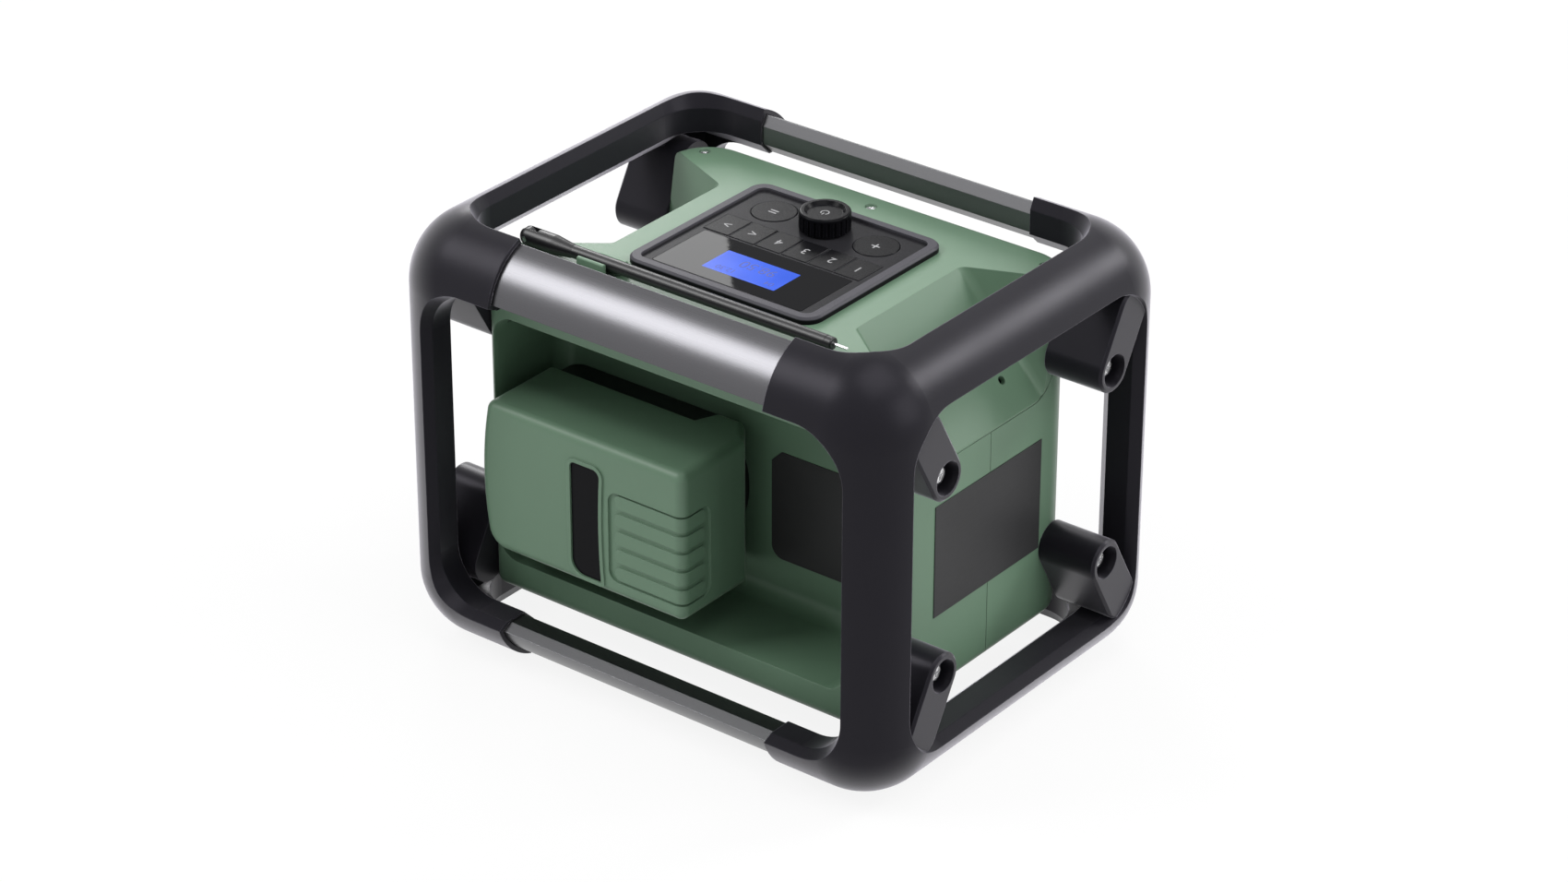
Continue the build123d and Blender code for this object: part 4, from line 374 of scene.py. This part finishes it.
def cone_paper():
    """Loudspeaker cone: matt pressed paper with its fibres."""
    tree = material_tree("cone_paper")
    fibre = tree.noise(PRESSED_FIBRES)
    return tree.finish(Base_Color=tree.mix(fibre, PAPER_DARK, PAPER_FIBRE), Roughness=0.7,
                       Normal=tree.bump(fibre, 0.04, tree.soft_normal(0.3)))


def circuit():
    """Solder mask over copper lands."""
    tree = material_tree("circuit")
    lands = tree.node("TexVoronoi", {"distance": "MANHATTAN"}, {"Vector": tree.place(), "Scale": LAND_SCALE})
    return tree.finish(Base_Color=tree.mix(lands.step(0.10, 0.16), COPPER_LAND, SOLDER_MASK), Roughness=0.38)


def panel_deck(place):
    """1 below the panel's rim, where the rim's painted highlight gives way to black."""
    below, above = PANEL_STEP
    return 1.0 - place.channel(2).step(BEZEL_TOP - below, BEZEL_TOP - above)


def behind_grille(place):
    """1 on what shows through the grille."""
    x, y, z = (place.channel(i) for i in range(3))
    start, full = GRILLE_BACK
    inside = y.step(GRILLE_HIGH[1] - start, GRILLE_HIGH[1] - full)
    for value, low, high in ((x, GRILLE_LOW[0], GRILLE_HIGH[0]), (z, GRILLE_LOW[2], GRILLE_HIGH[2])):
        inside = inside * value.step(low, low + GRILLE_EDGE) * (1.0 - value.step(high - GRILLE_EDGE, high))
    return inside


# painted highlight: each moulding's second colour is laid paler on its edges
CASING = dict(colour=GREEN, highlight_colour=GREEN_EDGE_HIGHLIGHT, roughness=0.42, gloss=0.36, sheen=0.14, highlight_share=0.7)
MATERIALS = {
    "green": moulded("casing_green", **CASING),
    "baffle": moulded("casing_baffle", **CASING, inset=(DEEP_BLACK, behind_grille)),
    "charcoal": moulded("cage_charcoal", CHARCOAL, CHARCOAL_EDGE_HIGHLIGHT, 0.35, grain=0.02, radius=0.7, highlight_share=0.85,
                        gloss=0.14, sheen=0.7, tint=CHARCOAL_SHEEN, graze=0.32),
    # the panel's rim is painted lighter as a highlight over its black deck
    "panel": moulded("panel_satin", PANEL_RIM_HIGHLIGHT, CHARCOAL_EDGE_HIGHLIGHT, 0.28, grain=0.01, highlight_share=0.6, gloss=0.03,
                     sheen=0.05, inset=(PANEL_BLACK, panel_deck)),
    "key": moulded("key_satin", KEY_BLACK, CHARCOAL_EDGE_HIGHLIGHT, 0.28, grain=0.008, radius=0.3, gloss=0.04),
    "knob": moulded("knob_gloss", DEEP_BLACK, CHARCOAL_EDGE_HIGHLIGHT, 0.24, grain=0.004, radius=0.3, gloss=0.05),
    # the pack's edges are painted with a slightly paler black as a highlight
    "pack_black": moulded("pack_black", DEEP_BLACK, PANEL_BLACK, 0.45),
    "aerial": moulded("aerial_black", KEY_BLACK, CHARCOAL_EDGE_HIGHLIGHT, 0.36, grain=0.01, radius=0.3),
    "badge": moulded("badge_satin", KEY_BLACK, CHARCOAL_EDGE_HIGHLIGHT, 0.30, grain=0.006, radius=0.2, gloss=0.05),
    "grille": moulded("grille_coat", GRILLE_BLACK, CHARCOAL_EDGE_HIGHLIGHT, 0.50, grain=0.04, radius=0.3),
    "sleeve": moulded("cell_sleeve", SLEEVE_BLUE, SLEEVE_EDGE_HIGHLIGHT, 0.30),
    "bar": brushed("bar_aluminium", ALUMINIUM, "X", 0.33),
    "handle": brushed("handle_aluminium", HANDLE_ALUMINIUM, "X", 0.285),
    "steel": plated("plated_steel", STEEL),
    "brass": plated("contact_brass", BRASS, 0.28),
    "window": window_acrylic(),
    "screen": screen_glow(),
    "plate": plate_film(),
    "cone": cone_paper(),
    "circuit": circuit(),
    "mark": printed("mark_ink", MARK_GREY),
    "digit": printed("screen_digits", DIGIT_BLUE, 0.6),
}

SLOT_FINISH = {
    "frame_plastic": "charcoal", "bar_metal": "bar", "casing_green": "green", "bezel_plastic": "panel",
    "key_plastic": "key", "knob_plastic": "knob", "window": "window", "display": "screen",
    "circuit": "circuit", "steel": "steel", "contact": "brass", "aerial_black": "aerial",
    "pack_black": "pack_black", "badge_metal": "badge", "cell_sleeve": "sleeve", "cone_paper": "cone",
    "basket_metal": "grille", "grille_metal": "grille", "plate_film": "plate", "socket_black": "pack_black",
}
NODE_FINISH = {"carry_handle": "handle", "front_casing": "baffle"}


def dress_nodes():
    """Gives every CAD node its own finish or that of its material slot."""
    for part in frame["record"]["subparts"]:
        name = part["node"]
        finish = MATERIALS[NODE_FINISH.get(name) or SLOT_FINISH[part["material_slot"]]]
        for slot in frame["nodes"][name].material_slots:
            slot.link = "OBJECT"
            slot.material = finish


# ---- pieces ----
def new_object(name, data):
    made = bpy.data.objects.new(name, data)
    bpy.context.scene.collection.objects.link(made)
    return made


def add_mesh(name, build, finish, body):
    """A new piece from a bmesh function, in the row frame."""
    mesh = bpy.data.meshes.new(name)
    shape = bmesh.new()
    build(shape)
    shape.to_mesh(mesh)
    shape.free()
    mesh.materials.append(MATERIALS[finish])
    piece = new_object(name, mesh)
    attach(piece, body)


def add_marks(text, name, at, size, body, finish="mark"):
    """Printed digits or a sign, flat and centred on a place, with their top towards the rear."""
    curve = bpy.data.curves.new(name, "FONT")
    curve.body = text
    curve.size = size * MM
    curve.align_x = "CENTER"
    curve.align_y = "CENTER"
    curve.extrude = TEXT_DEPTH
    curve.materials.append(MATERIALS[finish])
    piece = new_object(name, curve)
    piece.matrix_world = Matrix.Translation(at)
    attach(piece, body)


def top_centre(node):
    """Middle of a node's box from above, and its top."""
    low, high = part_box(node)
    return (low[0] + high[0]) / 2, (low[1] + high[1]) / 2, high[2]


def rounded_outline(width, depth, radius):
    points = []
    for sx, sy, start in ((1, 1, 0), (-1, 1, 90), (-1, -1, 180), (1, -1, 270)):
        for i in range(CORNER_STEPS + 1):
            angle = math.radians(start + 90 * i / CORNER_STEPS)
            points.append((sx * (width / 2 - radius) + radius * math.cos(angle),
                           sy * (depth / 2 - radius) + radius * math.sin(angle)))
    return points


def join_rings(shape, first, second):
    """Faces between two rings of the same number of verts."""
    for i in range(len(first)):
        following = (i + 1) % len(first)
        shape.faces.new((first[i], first[following], second[following], second[i]))


def slab(centre, outline, low, high):
    """bmesh function for an outline about a centre, anticlockwise from above, between two heights."""
    def build(shape):
        base, top = ([shape.verts.new((centre[0] + x, centre[1] + y, z)) for x, y in outline]
                     for z in (low, high))
        shape.faces.new(base[::-1])
        shape.faces.new(top)
        join_rings(shape, base, top)
    return build


def power_sign(centre, low, high):
    """bmesh function for an open ring with a bar in its gap."""
    def build(shape):
        inner, outer = SIGN_RING
        start, end = SIGN_BAR_ENDS
        sections = []
        for i in range(SIGN_STEPS + 1):
            angle = math.radians(90 + SIGN_GAP / 2 + (360 - SIGN_GAP) * i / SIGN_STEPS)
            c, s = math.cos(angle), math.sin(angle)
            sections.append([shape.verts.new((centre[0] + radius * c, centre[1] + radius * s, z))
                             for radius, z in ((inner, low), (outer, low), (outer, high), (inner, high))])
        for section, following in zip(sections, sections[1:]):
            join_rings(shape, following, section)
        shape.faces.new(sections[0])
        shape.faces.new(sections[-1][::-1])
        half = SIGN_BAR_HALF
        slab(centre, [(-half, start), (half, start), (half, end), (-half, end)], low, high)(shape)
    return build


def add_screen():
    """The display's lit area on the window, with its digits."""
    x, y, window_top = top_centre("display_window")
    centre = (x, y + SCREEN_SHIFT)
    low, high = window_top - INK_SINK, window_top + INK_STAND
    outline = rounded_outline(*SCREEN_SIZE, SCREEN_CORNER)
    add_mesh("screen_area", slab(centre, outline, low, high), "screen", "chassis")
    for name, digits, right, up, size in SCREEN_LINES:
        at = (centre[0] + right * MM, centre[1] + up * MM, high)
        add_marks(digits, name, at, size, "chassis", "digit")


def add_control_marks():
    """The signs on the keys, round buttons and knob."""
    for body, sign, size in KEY_SIGNS:
        x, y, top = top_centre(body.replace("button", "round_button"))
        add_marks(sign, f"{body}_mark", (x, y, top + TEXT_LIFT), size, body)
    x, y, top = top_centre("tuning_knob")
    dish = top - KNOB_DISH
    power = power_sign((x, y), dish - INK_SINK, dish + INK_STAND)
    add_mesh("knob_mark", power, "mark", "knob")


# ---- studio ----
def seen_directly(tree):
    """1 for what the camera, a glossy face or clear glass looks at, 0 for what only lights."""
    rays = ("Is Camera Ray", "Is Glossy Ray", "Is Transmission Ray")
    camera, glossy, through = (tree.node("LightPath", {}, {}, out=ray) for ray in rays)
    return (camera + glossy + through).clamp()


def add_stage():
    """Pale floor that keeps a soft shadow and melts into a white background."""
    tree = material_tree("floor_white")
    lit = tree.node("BsdfDiffuse", {}, {"Color": FLOOR_GREY}, out="BSDF")
    white = tree.node("Emission", {}, {"Color": WHITE, "Strength": 1.0}, out="Emission")
    tree.surface(tree.node("MixShader", {}, (seen_directly(tree) * FLOOR_WHITENESS, lit, white)))
    mesh = bpy.data.meshes.new("studio_floor")
    corners = [(x * FLOOR_REACH, y * FLOOR_REACH, 0) for x, y in ((-1, -1), (1, -1), (1, 1), (-1, 1))]
    mesh.from_pydata(corners, [], [(0, 1, 2, 3)])
    mesh.materials.append(tree.owner)
    floor = new_object("studio_floor", mesh)
    floor.location.z = -FLOOR_DROP


def add_lights():
    for name, at, size, watts in LIGHTS:
        data = bpy.data.lights.new(name, "AREA")
        data.shape = "RECTANGLE"
        data.size, data.size_y = size
        data.energy = watts
        light = new_object(name, data)
        light.location = at
        light.rotation_euler = (Vector(LIGHT_AIM) - Vector(at)).to_track_quat("-Z", "Y").to_euler()


def add_world():
    """Even white surroundings, dimmer as a light than as a background."""
    world = bpy.data.worlds.new("studio_world")
    bpy.context.scene.world = world
    tree = Tree(world)
    strength = seen_directly(tree) * (1.0 - WORLD_FILL) + WORLD_FILL
    tree.surface(tree.node("Background", {}, {"Color": WHITE, "Strength": strength}))


def add_camera():
    data = bpy.data.cameras.new("camera")
    data.lens = CAMERA_LENS
    data.sensor_width = CAMERA_SENSOR
    data.clip_start, data.clip_end = CAMERA_CLIP
    camera = new_object("camera", data)
    azimuth, elevation = math.radians(CAMERA_AZIMUTH), math.radians(CAMERA_ELEVATION)
    level = math.cos(elevation)
    back = Vector((math.sin(azimuth) * level, -math.cos(azimuth) * level, math.sin(elevation)))
    turn = (-back).to_track_quat("-Z", "Y").to_matrix().to_4x4()
    roll = Matrix.Rotation(math.radians(CAMERA_ROLL), 4, "Z")
    camera.matrix_world = Matrix.Translation(CAMERA_AT) @ turn @ roll
    bpy.context.scene.camera = camera


bpy.context.scene.view_settings.view_transform = "Standard"
add_camera()
dress_nodes()
add_screen()
add_control_marks()
add_stage()
add_lights()
add_world()
